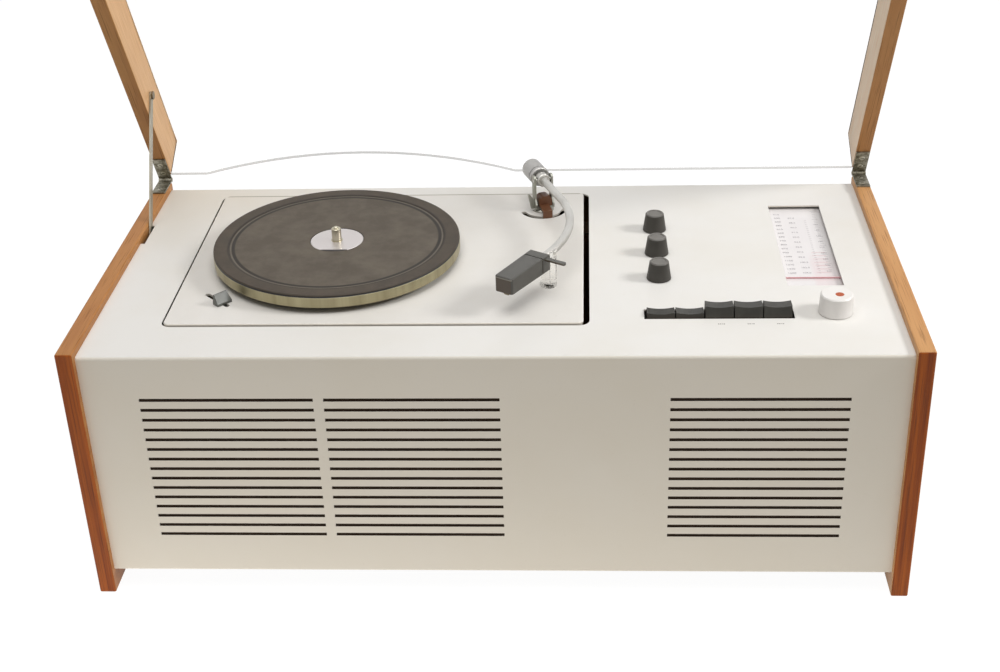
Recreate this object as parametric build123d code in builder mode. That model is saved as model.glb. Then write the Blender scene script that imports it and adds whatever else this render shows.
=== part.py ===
"""Table-top record player and radio: a folded steel body between two wooden sides,
a record deck on rubber buffers, a radio with push keys and dial, and a hinged clear lid.

Frame: x to the right, y from front to back, z up, millimetres.  The origin is on the floor,
under the middle of the outer box of the set as it stands with its lid open.
Every plan position below is given as (x, distance behind the front edge of the wooden sides).
"""
from build123d import *
from math import acos, atan2, cos, degrees, hypot, radians, sin
import os

os.makedirs("parts", exist_ok=True)

# ---------------------------------------------------------------- wooden sides and steel body
case_width = 584.0
case_depth = 290.0
side_height = 200.0
side_thickness = 12.0
edge_round = 1.2

sheet = 1.2                 # thickness of all folded steel sheet
fold_radius = 2.5           # outer radius of a fold
shell_setback = 5.0         # front of the steel body behind the front edge of the sides
shell_rear_setback = 2.5    # rear of the steel body in front of the rear edge of the sides
shell_sink = 5.0            # top of the steel body below the top of the sides
shell_foot = 16.5           # height of the lower edge of the steel body
return_depth = 22.0         # width of the bottom return flange
rear_lip = 14.0             # height of the rear lip
flange_width = 13.0         # flanges that lie against the wooden sides
board = 3.0                 # thickness of the hardboard back and bottom
vent_width = 3.5            # width of the air slots in them

inner_x = case_width / 2 - side_thickness
shell_top = side_height - shell_sink
shell_under = shell_top - sheet
shell_back = case_depth - shell_rear_setback

# front grille: three groups of narrow slots
slot_rows = 15
slot_pitch = 8.0
slot_height = 2.4
slot_length = 120.0
slot_lowest = 49.5
group_centres = (-181.0, -54.0, 180.7)

# ---------------------------------------------------------------- lid and hinges
lid_angle = 60.8            # how far the lid stands open
hinge_behind = 2.5          # hinge axis behind the wooden sides
leaf = 1.2                  # thickness of a hinge leaf
leaf_gap = 0.4              # between the leaves when shut
leaf_length = 24.0
leaf_width = 10.8
knuckle_radius = 2.1
hinge_pin_radius = 1.0
hinge_clearance = 0.06
knuckle_gap = 0.3
cheek_height = 36.8
cheek_rear_gap = 4.5        # rear end of the lid's sides in front of the hinge axis
acrylic = 3.0
acrylic_below_cheek = 1.0   # top of the clear cover below the top of the lid's sides
acrylic_drop = 0.3          # its lower edges below the bottom of the lid's sides
acrylic_inset = 0.5         # its front and back faces inside the ends of the lid's sides
acrylic_bend = 6.0
notch_width = 256.0         # shallow arch in the back wall of the cover
notch_height = 20.5

hinge_y = case_depth + hinge_behind
hinge_z = side_height + leaf + leaf_gap / 2
cheek_low = leaf + leaf_gap / 2
cheek_high = cheek_low + cheek_height
cheek_back = -cheek_rear_gap
cheek_front = -hinge_y
lid_cos = cos(radians(lid_angle))
lid_sin = sin(radians(lid_angle))

# the outer box runs from the front of the sides to the upper rear edge of the open lid
lid_reach = (hinge_y + (cheek_back - edge_round) * lid_cos
             + (cheek_high - edge_round) * lid_sin + edge_round)
middle_y = lid_reach / 2

# stay of the lid: a flat strip that slides through a slot beside the left wooden side
stay_width = 6.0
stay_thickness = 1.2
stay_length = 134.0
stay_gap = 0.4              # between the strip and the wood
stay_pin_radius = 1.5
stay_pin_head = 3.2
stay_pivot_back = 87.9      # pivot in front of the hinge axis, along the lid
stay_pivot_up = 16.35       # pivot above the hinge axis, square to the lid
stay_slot_front = 110.0     # front end of its slot, in front of the hinge axis
stay_slot_back = 77.3       # rear end of its slot, in front of the hinge axis
stay_slot_width = 3.2
stay_entry = 82.0           # where the strip crosses the top of the body when open, likewise

# ---------------------------------------------------------------- record deck
deck_left, deck_right = -230.8, 62.6
deck_front, deck_back = 49.3, 269.0
deck_corner = 4.5
opening_corner = 7.0        # of the opening it lies in
deck_proud = 1.3            # top of the deck above the top of the body
deck_sheet = 1.6
deck_skirt = 12.0
deck_gap_left, deck_gap_right, deck_gap_y = 1.5, 4.2, 1.4
shelf_drop = 22.0           # shelf for the buffers below the top of the body
shelf_reach = 26.0
shelf_width = 22.0
buffer_radius = 7.0
buffer_inset_x = 14.0
buffer_inset_y = 16.0

deck_top = shell_top + deck_proud
deck_under = deck_top - deck_sheet
shelf_top = shell_top - shelf_drop

# platter, spindle and drive
platter_x, platter_y = -121.6, 155.2
platter_radius = 91.9
platter_inner = 87.4
platter_gap = 3.9           # air under the rim of the platter
rim_height = 9.2
platter_web = 2.3
mat_thickness = 1.4
mat_step = 0.6
mat_ring = 79.7
mat_hole = 20.1
disc_radius = 19.8
disc_flat = 16.8            # distance of the disc's flat edge from the spindle
disc_thickness = 0.8
hub_radius = 14.0
spindle_radius = 3.55
bearing_shaft_radius = 4.5  # thicker part that runs in the bearing, flush with the disc
spindle_proud = 8.6         # parallel part above the mat
spindle_tip = 1.1
tip_radius = 1.8
running = 0.05              # radial clearance of a shaft in its bearing
snug = 0.03                 # radial clearance of a fixed seat
contact_gap = 0.3           # between the tyre of the idler and what it drives

rim_low = deck_top + platter_gap
web_top = rim_low + rim_height
mat_top = web_top + mat_thickness

idler_radius = 17.0
tyre_thickness = 1.8
pulley_steps = (4.95, 2.85, 2.1, 1.2)   # radii for 78, 45, 33 and 16 turns a minute
pulley_used = 2
step_height = 2.0
pulley_reach = 55.0         # motor shaft from the spindle
pulley_bearing = 10.0       # its direction from the spindle, degrees
motor_shaft_radius = 1.5
motor_size = 58.0

# tone arm
arm_x, arm_y = 30.5, 238.3
arm_z = 221.7
arm_slope = 0.1             # the arm falls towards the head, degrees
arm_tube_radius = 3.1
arm_corner = (35.0, -87.5)  # where the two straight runs of the tube would meet
arm_end = (3.2, -139.3)     # where the tube enters the head
arm_bend = 112.0
weight_radius = 7.8
weight_length = 21.0
weight_back = 5.0           # its front face behind the pivot
collar_radius = 5.2
collar_length = 6.0
fork_gap = 12.6
fork_sheet = 1.5
arm_slot_radius = 16.5
arm_slot_width = 4.0
arm_slot_from, arm_slot_to = 205.0, 350.0
tongue_angle = 284.0
head_length = 46.8
head_width_front, head_width_rear = 14.4, 16.4
head_height = 12.0
head_above_tube = 4.6
head_offset = 1.8           # centre line of the head to the left of the tube
rest_x, rest_y = 37.4, 106.4
lever_slot_x, lever_slot_y = -199.2, 85.3
lever_slot = 28.0
lever_slot_width = 3.6
lever_turn = -44.0          # direction of the slot, degrees
lever_along = 6.7           # where the lever stands, from the middle of its slot

# ---------------------------------------------------------------- radio controls
knob_x = 117.0
knob_ys = (201.0, 159.5, 118.5)
knob_names = ("volume_knob", "bass_knob", "treble_knob")
knob_base, knob_top = 8.9, 6.95
knob_height = 13.5
knob_gap = 0.5              # air under a knob
shaft_radius = 3.0
bush_radius = 4.5
bush_proud = 1.8

key_count = 5
key_pitch = 20.0
key_gap = 0.8
key_centre_x = 156.0
key_front, key_back = 57.0, 70.0
key_slot_gap = 0.6
key_slot_width = 103.0
key_proud = 7.3             # rear edge of a raised key above the body
key_travel = 5.0
key_depth = 14.0
key_rise = 1.1              # front edge of the key's top above its rear edge
key_lean = 2.6              # that edge behind the foot of the front face
key_scoop = 40.0            # radius of the hollow in the key's top
keys_down = 2               # how many keys, from the left, are pressed
stem_width, stem_depth = 9.0, 3.0
stem_length = 44.0
guide_gap = 0.15

window_left, window_right = 208.0, 247.8
window_front, window_back = 105.5, 243.3
scale_drop = 3.3            # face of the scale below the top of the body
scale_thickness = 3.0
scale_overlap = 4.0
pointer_y = 122.4
pointer_width = 0.6
rail_radius = 1.0
tuning_x, tuning_y = 236.0, 65.3
tuning_base, tuning_top = 11.8, 11.15
tuning_height = 14.0
pulley_groove = 4.0         # radius at which the dial cord runs on the tuning shaft
drum_radius = 40.0          # radius at which it runs on the drum
drum_x, drum_y, drum_z = 256.0, 170.0, 135.0

chassis_left, chassis_right = 84.0, 272.0
chassis_front, chassis_back = 88.0, 278.0
chassis_top = 85.2

speaker_centres = (-117.5, 180.7)
speaker_z = 105.5


# ---------------------------------------------------------------- planes and small helpers
def level(height):
    """Horizontal plane; local x, y are the plan position."""
    return Plane(origin=(0, -middle_y, height), x_dir=(1, 0, 0), z_dir=(0, 0, 1))


def upright(depth):
    """Plane parallel to the front, facing forward; local x, y are x and height."""
    return Plane(origin=(0, depth - middle_y, 0), x_dir=(1, 0, 0), z_dir=(0, -1, 0))


def sideways(x):
    """Plane parallel to the sides, facing right; local x, y are depth and height."""
    return Plane(origin=(x, -middle_y, 0), x_dir=(0, 1, 0), z_dir=(1, 0, 0))


def lid_side(x):
    """As sideways, but turned with the open lid; local origin on the hinge axis."""
    return Plane(origin=(x, hinge_y - middle_y, hinge_z), x_dir=(0, lid_cos, -lid_sin), z_dir=(1, 0, 0))


def lid_back(depth):
    """Plane parallel to the lid's back wall, depth measured along the lid from the hinge axis."""
    return Plane(origin=(0, hinge_y - middle_y + depth * lid_cos, hinge_z - depth * lid_sin),
                 x_dir=(1, 0, 0), z_dir=(0, -lid_cos, lid_sin))


def standing(x, y):
    """Vertical plane through a plan position; local x, y are radius and height."""
    return Plane(origin=(x, y - middle_y, 0), x_dir=(1, 0, 0), z_dir=(0, -1, 0))


def plumb(x, y):
    """Vertical axis through a plan position."""
    return Axis((x, y - middle_y, 0), (0, 0, 1))


def finish(piece, name):
    """Label a finished piece and write it."""
    piece.part.label = name
    export_step(piece.part, f"parts/{name}.step")


def turned(x, y, outline):
    """A piece turned about the vertical through a plan position, from (radius, height) points."""
    with BuildPart() as piece:
        with BuildSketch(standing(x, y)):
            with BuildLine():
                Polyline(*outline, close=True)
            make_face()
        revolve(axis=plumb(x, y))
    return piece


# ---------------------------------------------------------------- wooden sides
def side_panel(name, left_face):
    with BuildPart() as panel:
        with BuildSketch(sideways(left_face)):
            with Locations((case_depth / 2, side_height / 2)):
                Rectangle(case_depth, side_height)
        extrude(amount=side_thickness)
        fillet(panel.edges(), edge_round)
    finish(panel, name)


side_panel("side_panel_left", -case_width / 2)
side_panel("side_panel_right", inner_x)

# ---------------------------------------------------------------- steel body
cover_front = shell_back - sheet - board      # front face of the hardboard back
screw_radius = 1.5
screw_hole = 1.6
lip_screws = (-240.0, -80.0, 80.0, 240.0)
base_screws = (-200.0, -70.0, 70.0, 200.0)
base_screw_y = 17.0
lip_screw_z = shell_top - 8.0
open_left, open_right = deck_left - deck_gap_left, deck_right + deck_gap_right
open_front, open_back = deck_front - deck_gap_y, deck_back + deck_gap_y
buffer_xs = (deck_left + buffer_inset_x, deck_right - buffer_inset_x)
buffer_ys = (deck_front + buffer_inset_y, deck_back - buffer_inset_y)
key_slot_front, key_slot_back = key_front - key_slot_gap, key_back + key_slot_gap
cut = 3.0                                      # how far a cutter reaches to each side of a sheet

with BuildPart() as body_shell:
    # folded sheet: bottom return, front, top and rear lip
    with BuildSketch(sideways(-inner_x)):
        with BuildLine():
            FilletPolyline(
                (shell_setback + return_depth, shell_foot),
                (shell_setback, shell_foot),
                (shell_setback, shell_top),
                (shell_back, shell_top),
                (shell_back, shell_top - rear_lip),
                radius=fold_radius,
            )
            offset(amount=sheet, side=Side.RIGHT)
        make_face()
    extrude(amount=2 * inner_x)
    # flanges against the wooden sides
    for flange_face in (-inner_x, inner_x - sheet):
        with BuildSketch(sideways(flange_face)):
            with Locations(((shell_setback + cover_front) / 2, shell_top - flange_width / 2 - sheet / 2)):
                Rectangle(cover_front - shell_setback - 1, flange_width)
            with Locations((shell_setback + flange_width / 2 + sheet / 2, (shell_foot + shell_top) / 2)):
                Rectangle(flange_width, shell_top - shell_foot - 2 * sheet)
        extrude(amount=sheet)
    # grille slots
    with BuildSketch(upright(shell_setback)):
        for group_x in group_centres:
            with Locations((group_x, slot_lowest + (slot_rows - 1) * slot_pitch / 2)):
                with GridLocations(0, slot_pitch, 1, slot_rows):
                    Rectangle(slot_length, slot_height)
    extrude(amount=cut, both=True, mode=Mode.SUBTRACT)
    # openings in the top
    with BuildSketch(level(shell_top)):
        with Locations(((open_left + open_right) / 2, (open_front + open_back) / 2)):
            RectangleRounded(open_right - open_left, open_back - open_front, opening_corner)
        with Locations((key_centre_x, (key_slot_front + key_slot_back) / 2)):
            Rectangle(key_slot_width, key_slot_back - key_slot_front)
        with Locations(((window_left + window_right) / 2, (window_front + window_back) / 2)):
            Rectangle(window_right - window_left, window_back - window_front)
        with Locations(*[(knob_x, y) for y in knob_ys]):
            Circle(bush_radius + 0.1)
        with Locations((tuning_x, tuning_y)):
            Circle(shaft_radius + 0.5)
    extrude(amount=cut, both=True, mode=Mode.SUBTRACT)
    # slot for the lid's stay, along the left edge
    with BuildSketch(level(shell_top + cut)):
        with Locations((-inner_x + stay_slot_width / 2, hinge_y - (stay_slot_front + stay_slot_back) / 2)):
            Rectangle(stay_slot_width, stay_slot_front - stay_slot_back)
    extrude(amount=-flange_width - 2 * cut, mode=Mode.SUBTRACT)
    # shelves that carry the deck's buffers
    for shelf_edge, inward in ((open_left - 2, 1), (open_right + 2, -1)):
        for buffer_y in buffer_ys:
            with BuildSketch(upright(buffer_y + shelf_width / 2)):
                with Locations((shelf_edge - inward * sheet / 2, (shell_top - sheet / 2 + shelf_top - sheet) / 2)):
                    Rectangle(sheet, shell_top + sheet / 2 - shelf_top)
                with Locations((shelf_edge + inward * (shelf_reach / 2 - sheet), shelf_top - sheet / 2)):
                    Rectangle(shelf_reach, sheet)
            extrude(amount=shelf_width)
    # screw holes in the rear lip and in the bottom return
    with BuildSketch(upright(shell_back)):
        with Locations(*[(x, lip_screw_z) for x in lip_screws]):
            Circle(screw_hole)
    extrude(amount=cut, both=True, mode=Mode.SUBTRACT)
    with BuildSketch(level(shell_foot)):
        with Locations(*[(x, base_screw_y) for x in base_screws]):
            Circle(screw_hole)
    extrude(amount=cut, both=True, mode=Mode.SUBTRACT)
finish(body_shell, "body_shell")

# ---------------------------------------------------------------- bottom and back
base_top = shell_foot + sheet + board
base_front = shell_setback + fold_radius + 0.2
board_gap = 1.5             # from the bottom and back to the wooden sides
cover_back = cover_front + board
cover_low = shell_foot + sheet
cover_high = shell_top - fold_radius - 0.2

with BuildPart() as base_plate:
    with BuildSketch(level(base_top - board)):
        with Locations((0, (base_front + cover_front - 0.3) / 2)):
            Rectangle(2 * (inner_x - board_gap), cover_front - 0.3 - base_front)
        with Locations((0, case_depth / 2)):
            with GridLocations(60, 26, 6, 3):
                SlotOverall(36, vent_width, mode=Mode.SUBTRACT)
        with Locations(*[(x, base_screw_y) for x in base_screws]):
            Circle(screw_hole, mode=Mode.SUBTRACT)
    extrude(amount=board)
finish(base_plate, "base_plate")

socket_x, socket_z, socket_pitch = 150.0, 62.0, 22.0
socket_radius = 7.5
socket_bore = 5.0
socket_depth = 14.0
inlet_x, inlet_z = 236.0, 50.0
inlet_width, inlet_height = 26.0, 15.0
inlet_mouth = 4.0
cover_fit = 0.3

with BuildPart() as rear_cover:
    with BuildSketch(upright(cover_back)):
        with Locations((0, (cover_low + cover_high) / 2)):
            Rectangle(2 * (inner_x - board_gap), cover_high - cover_low)
        for vent_x in (-170.0, -30.0):
            with Locations((vent_x, 120)):
                with GridLocations(66, 12, 2, 6):
                    SlotOverall(54, vent_width, mode=Mode.SUBTRACT)
        with Locations(*[(x, lip_screw_z) for x in lip_screws]):
            Circle(screw_hole, mode=Mode.SUBTRACT)
        with Locations((socket_x, socket_z)):
            with GridLocations(socket_pitch, 0, 3, 1):
                Circle(socket_radius + cover_fit, mode=Mode.SUBTRACT)
        with Locations((inlet_x, inlet_z)):
            Rectangle(inlet_width + 2 * cover_fit, inlet_height + 2 * cover_fit, mode=Mode.SUBTRACT)
    extrude(amount=board)
finish(rear_cover, "rear_cover")

with BuildPart() as rear_sockets:
    # mounting plates on the outside of the back
    with BuildSketch(upright(cover_back)):
        with Locations((socket_x, socket_z)):
            Rectangle(3 * socket_pitch, 24)
        with Locations((inlet_x, inlet_z)):
            Rectangle(inlet_width + 12, inlet_height + 8)
    extrude(amount=-1.0)
    # moulded bodies that pass through it
    with BuildSketch(upright(cover_back)):
        with Locations((socket_x, socket_z)):
            with GridLocations(socket_pitch, 0, 3, 1):
                Circle(socket_radius)
        with Locations((inlet_x, inlet_z)):
            Rectangle(inlet_width, inlet_height)
    extrude(amount=socket_depth)
    with BuildSketch(upright(cover_back + 1.0)):
        with Locations((socket_x, socket_z)):
            with GridLocations(socket_pitch, 0, 3, 1):
                Circle(socket_bore)
                Circle(1.2, mode=Mode.SUBTRACT)
        with Locations((inlet_x, inlet_z)):
            SlotOverall(20, 9)
            with GridLocations(9, 0, 2, 1):
                Circle(1.6, mode=Mode.SUBTRACT)
    extrude(amount=socket_depth - inlet_mouth, mode=Mode.SUBTRACT)
finish(rear_sockets, "rear_sockets")

screw_head, screw_head_height = 3.2, 1.6
with BuildPart() as case_screws:
    with BuildSketch(upright(shell_back)):
        with Locations(*[(x, lip_screw_z) for x in lip_screws]):
            Circle(screw_head)
    extrude(amount=-screw_head_height)
    with BuildSketch(upright(shell_back)):
        with Locations(*[(x, lip_screw_z) for x in lip_screws]):
            Circle(screw_radius)
    extrude(amount=sheet + board + 3)
    with BuildSketch(level(shell_foot)):
        with Locations(*[(x, base_screw_y) for x in base_screws]):
            Circle(screw_head)
    extrude(amount=-screw_head_height)
    with BuildSketch(level(shell_foot)):
        with Locations(*[(x, base_screw_y) for x in base_screws]):
            Circle(screw_radius)
    extrude(amount=sheet + board + 1.5)
finish(case_screws, "case_screws")

# ---------------------------------------------------------------- loudspeakers behind the grille
cloth = 0.8
cloth_back = shell_setback + sheet + cloth
baffle = 8.0
baffle_back = cloth_back + baffle
baffle_low, baffle_high = 24.0, 180.0
baffle_half = 255.0
speaker_mouth = (72.0, 46.0)
speaker_rim = (84.0, 57.0)
cone_rim = (68.0, 42.0)
gasket = 0.8
frame_sheet = 1.5
basket_depth = 27.0
magnet_radius, magnet_depth = 26.0, 24.0
coil_radius = 12.0

with BuildPart() as grille_cloth:
    with BuildSketch(upright(cloth_back)):
        with Locations((0, (baffle_low + baffle_high) / 2)):
            Rectangle(2 * baffle_half, baffle_high - baffle_low - 16)
    extrude(amount=cloth)
finish(grille_cloth, "grille_cloth")

with BuildPart() as baffle_board:
    with BuildSketch(upright(baffle_back)):
        with Locations((0, (baffle_low + baffle_high) / 2)):
            Rectangle(2 * baffle_half, baffle_high - baffle_low)
        with Locations(*[(x, speaker_z) for x in speaker_centres]):
            Ellipse(*speaker_mouth, mode=Mode.SUBTRACT)
    extrude(amount=baffle)
finish(baffle_board, "baffle_board")

flange_front = baffle_back + gasket
basket_start = flange_front + frame_sheet
basket_end = basket_start + basket_depth

with BuildPart() as speaker_frames:
    for speaker_x in speaker_centres:
        centre = (speaker_x, speaker_z)
        # oval flange
        with BuildSketch(upright(basket_start)):
            with Locations(centre):
                Ellipse(*speaker_rim)
                Ellipse(speaker_rim[0] - 10, speaker_rim[1] - 9, mode=Mode.SUBTRACT)
        extrude(amount=frame_sheet)
        # basket, tapering from the oval to the round magnet seat
        for shrink, mode in ((0.0, Mode.ADD), (frame_sheet, Mode.SUBTRACT)):
            with BuildSketch(upright(basket_start)):
                with Locations(centre):
                    Ellipse(speaker_rim[0] - 8 - shrink, speaker_rim[1] - 7 - shrink)
            with BuildSketch(upright(basket_end)):
                with Locations(centre):
                    Circle(magnet_radius + 4 - shrink)
            loft(mode=mode)
        # windows in the basket
        with BuildSketch(upright(basket_end - 6)):
            with Locations(centre):
                with PolarLocations(44, 4, start_angle=45):
                    Circle(10.5)
        extrude(amount=basket_depth - 9, mode=Mode.SUBTRACT)
        # magnet with the gap for the voice coil
        with BuildSketch(upright(basket_end + magnet_depth)):
            with Locations(centre):
                Circle(magnet_radius)
        extrude(amount=magnet_depth - 1.5)
        with BuildSketch(upright(basket_end + 1.5)):
            with Locations(centre):
                Circle(magnet_radius + 4)
        extrude(amount=1.5)
        with BuildSketch(upright(basket_end + 7)):
            with Locations(centre):
                Circle(coil_radius + 0.6)
                Circle(coil_radius - 1.6, mode=Mode.SUBTRACT)
        extrude(amount=7.5, mode=Mode.SUBTRACT)
finish(speaker_frames, "speaker_frames")

cone_end = basket_end - 3.5
paper = 1.0
with BuildPart() as speaker_cones:
    for speaker_x in speaker_centres:
        centre = (speaker_x, speaker_z)
        with BuildSketch(upright(flange_front)):
            with Locations(centre):
                Ellipse(speaker_rim[0] - 1, speaker_rim[1] - 1)
                Ellipse(cone_rim[0] - paper, cone_rim[1] - paper, mode=Mode.SUBTRACT)
        extrude(amount=gasket)
        for shrink, mode in ((0.0, Mode.ADD), (paper, Mode.SUBTRACT)):
            with BuildSketch(upright(flange_front - gasket / 2)):
                with Locations(centre):
                    Ellipse(cone_rim[0] - shrink, cone_rim[1] - shrink)
            with BuildSketch(upright(cone_end)):
                with Locations(centre):
                    Circle(coil_radius - shrink)
            loft(mode=mode)
        # voice coil, reaching into the magnet's gap
        with BuildSketch(upright(basket_end + 5)):
            with Locations(centre):
                Circle(coil_radius)
                Circle(coil_radius - paper, mode=Mode.SUBTRACT)
        extrude(amount=basket_end + 5 - cone_end + 1)
        with BuildSketch(upright(cone_end)):
            with Locations(centre):
                Circle(coil_radius)
        extrude(amount=paper)
finish(speaker_cones, "speaker_cones")

# ---------------------------------------------------------------- radio chassis and what stands on it
chassis_low = base_top

with BuildPart() as radio_chassis:
    with BuildSketch(upright(chassis_back)):
        with BuildLine():
            FilletPolyline(
                (chassis_left + 12, chassis_low),
                (chassis_left, chassis_low),
                (chassis_left, chassis_top),
                (chassis_right, chassis_top),
                (chassis_right, chassis_low),
                (chassis_right - 12, chassis_low),
                radius=fold_radius,
            )
            offset(amount=sheet, side=Side.RIGHT)
        make_face()
    extrude(amount=chassis_back - chassis_front)
finish(radio_chassis, "radio_chassis")

mains_x, mains_y = 128.0, 240.0
mains_core = (70.0, 34.0, 58.0)
coil_bulge = 9.0
window_size = (12.0, 36.0)

with BuildPart() as mains_transformer:
    with BuildSketch(level(chassis_top)):
        with Locations((mains_x, mains_y)):
            Rectangle(mains_core[0], mains_core[1])
    extrude(amount=mains_core[2])
    chamfer(mains_transformer.edges().filter_by(Axis.Z), 1.5)
    with BuildSketch(upright(mains_y + mains_core[1] / 2 + coil_bulge)):
        with Locations((mains_x, chassis_top + mains_core[2] / 2)):
            RectangleRounded(44, window_size[1], 6)
    extrude(amount=mains_core[1] + 2 * coil_bulge)
finish(mains_transformer, "mains_transformer")

output_places = ((112.0, 112.0), (112.0, 158.0))
output_core = (34.0, 18.0, 30.0)
with BuildPart() as output_transformers:
    for place in output_places:
        with BuildSketch(level(chassis_top)):
            with Locations(place):
                Rectangle(output_core[0], output_core[1])
        extrude(amount=output_core[2])
        with BuildSketch(level(chassis_top + 6)):
            with Locations(place):
                RectangleRounded(22, output_core[1] + 12, 4)
        extrude(amount=output_core[2] - 12)
finish(output_transformers, "output_transformers")

valve_places = ((160.0, 112.0), (160.0, 156.0), (184.0, 196.0), (186.0, 238.0), (222.0, 240.0), (216.0, 112.0))
valve_radius, valve_height = 10.5, 56.0
with BuildPart() as radio_valves:
    for valve_x, valve_y in valve_places:
        with BuildSketch(standing(valve_x, valve_y)):
            with BuildLine():
                start = chassis_top
                Polyline((0, start), (13, start), (13, start + 4), (valve_radius, start + 7),
                         (valve_radius, start + valve_height - valve_radius))
                TangentArc((valve_radius, start + valve_height - valve_radius),
                           (0, start + valve_height), tangent=(0, 1))
                Line((0, start + valve_height), (0, start))
            make_face()
        revolve(axis=plumb(valve_x, valve_y))
finish(radio_valves, "radio_valves")

# ---------------------------------------------------------------- tuning capacitor, drum and dial
gang_left, gang_right = 206.0, 250.0
gang_plate = 1.5
gang_half = 21.0
vane = 0.8
vane_pitch = 5.0
vane_count = 6
rotor_radius = 16.0
gang_shaft = 3.0
gang_first = gang_left + 9.0

with BuildPart() as tuning_capacitor:
    for plate_x in (gang_left, gang_right - gang_plate):
        with BuildSketch(sideways(plate_x)):
            with Locations((drum_y, (chassis_top + drum_z + 20) / 2)):
                Rectangle(2 * gang_half, drum_z + 20 - chassis_top)
            with Locations((drum_y, drum_z)):
                Circle(gang_shaft + running, mode=Mode.SUBTRACT)
        extrude(amount=gang_plate)
    # tie plate and fixed vanes, below the shaft
    with BuildSketch(sideways(gang_left)):
        with Locations((drum_y, drum_z - gang_half + 1)):
            Rectangle(2 * gang_half - 4, 2)
    extrude(amount=gang_right - gang_left)
    for index in range(vane_count + 1):
        with BuildSketch(sideways(gang_first + (index - 0.5) * vane_pitch - vane / 2)):
            with Locations((drum_y, drum_z - gang_half / 2)):
                Rectangle(2 * gang_half - 6, gang_half - 0.5)
            with Locations((drum_y, drum_z)):
                Circle(gang_shaft + 2, mode=Mode.SUBTRACT)
        extrude(amount=vane)
finish(tuning_capacitor, "tuning_capacitor")

drum_thickness = 5.0
drum_face = drum_x - drum_thickness / 2
with BuildPart() as tuning_rotor:
    with BuildSketch(sideways(gang_left - 3)):
        with Locations((drum_y, drum_z)):
            Circle(gang_shaft)
    extrude(amount=drum_face + drum_thickness + 3 - gang_left + 3)
    for index in range(vane_count):
        with BuildSketch(sideways(gang_first + index * vane_pitch - vane / 2)):
            with Locations((drum_y, drum_z)):
                Circle(rotor_radius)
            with Locations((drum_y, drum_z - rotor_radius - 1)):
                Rectangle(2 * rotor_radius + 2, 2 * rotor_radius + 2, mode=Mode.SUBTRACT)
        extrude(amount=vane)
finish(tuning_rotor, "tuning_rotor")

with BuildPart() as cord_drum:
    with BuildSketch(sideways(drum_face)):
        with Locations((drum_y, drum_z)):
            Circle(drum_radius - 1)
            Circle(gang_shaft + snug, mode=Mode.SUBTRACT)
            with PolarLocations(22, 5):
                Circle(8, mode=Mode.SUBTRACT)
    extrude(amount=drum_thickness)
    for rim_x in (drum_face, drum_face + drum_thickness - 1.5):
        with BuildSketch(sideways(rim_x)):
            with Locations((drum_y, drum_z)):
                Circle(drum_radius + 1)
                Circle(drum_radius - 4, mode=Mode.SUBTRACT)
        extrude(amount=1.5)
finish(cord_drum, "cord_drum")

scale_face = shell_top - scale_drop
scale_low = scale_face - scale_thickness
frame_left, frame_right = window_left - 7, window_right + 17
frame_front, frame_back = window_front - 12, window_back + 12
rail_x = window_right + 11
rail_z = scale_face - 0.6
post_inset = 4.0
tray_bottom = scale_low - sheet

with BuildPart() as dial_frame:
    # tray under the window, with a tongue forward to the tuning shaft
    with BuildSketch(level(tray_bottom)):
        with Locations(((frame_left + frame_right) / 2, (frame_front + frame_back) / 2)):
            Rectangle(frame_right - frame_left, frame_back - frame_front)
        with Locations((tuning_x, (tuning_y - 12 + frame_front) / 2)):
            Rectangle(26, frame_front - tuning_y + 12)
    extrude(amount=sheet)
    # posts up to the steel body
    with BuildSketch(level(tray_bottom)):
        for post_x in (frame_left + post_inset, rail_x):
            for post_y in (frame_front + post_inset, frame_back - post_inset):
                with Locations((post_x, post_y)):
                    Circle(3)
    extrude(amount=shell_under - tray_bottom)
    # rail of the pointer
    with BuildSketch(upright(frame_back - post_inset)):
        with Locations((rail_x, rail_z)):
            Circle(rail_radius)
    extrude(amount=frame_back - frame_front - 2 * post_inset)
    # bush of the tuning shaft
    with BuildSketch(level(tray_bottom - 8)):
        with Locations((tuning_x, tuning_y)):
            Circle(6.5)
    extrude(amount=shell_under - tray_bottom + 8)
    with BuildSketch(level(tray_bottom - 8)):
        with Locations((tuning_x, tuning_y)):
            Circle(shaft_radius + running)
    extrude(amount=shell_top - tray_bottom + 8, mode=Mode.SUBTRACT)
finish(dial_frame, "dial_frame")

with BuildPart() as dial_scale:
    with BuildSketch(level(scale_low)):
        with Locations(((window_left + window_right) / 2, (window_front + window_back) / 2)):
            Rectangle(window_right - window_left + 2 * scale_overlap,
                      window_back - window_front + 2 * scale_overlap)
    extrude(amount=scale_thickness)
finish(dial_scale, "dial_scale")

pointer_low = scale_face + 0.4
pointer_high = pointer_low + 1.0
slider = (6.0, 9.0)
with BuildPart() as dial_pointer:
    with BuildSketch(level(pointer_low)):
        with Locations(((window_left - 3 + rail_x) / 2, pointer_y)):
            Rectangle(rail_x - window_left + 3, pointer_width)
    extrude(amount=pointer_high - pointer_low)
    with BuildSketch(level(rail_z - 2.2)):
        with Locations((rail_x, pointer_y)):
            Rectangle(*slider)
    extrude(amount=pointer_high - rail_z + 2.2)
    with BuildSketch(upright(pointer_y)):
        with Locations((rail_x, rail_z)):
            Circle(rail_radius + running)
    extrude(amount=slider[1], both=True, mode=Mode.SUBTRACT)
finish(dial_pointer, "dial_pointer")

# tuning knob and its shaft, with the groove that drives the dial cord
knob_low = shell_top + knob_gap
tuning_knob = turned(tuning_x, tuning_y, [
    (shaft_radius + snug, knob_low),
    (tuning_base, knob_low),
    (tuning_top, knob_low + tuning_height - 0.8),
    (tuning_top - 0.8, knob_low + tuning_height),
    (0, knob_low + tuning_height),
    (0, knob_low + 10),
    (shaft_radius + snug, knob_low + 10),
])
finish(tuning_knob, "tuning_knob")

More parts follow.
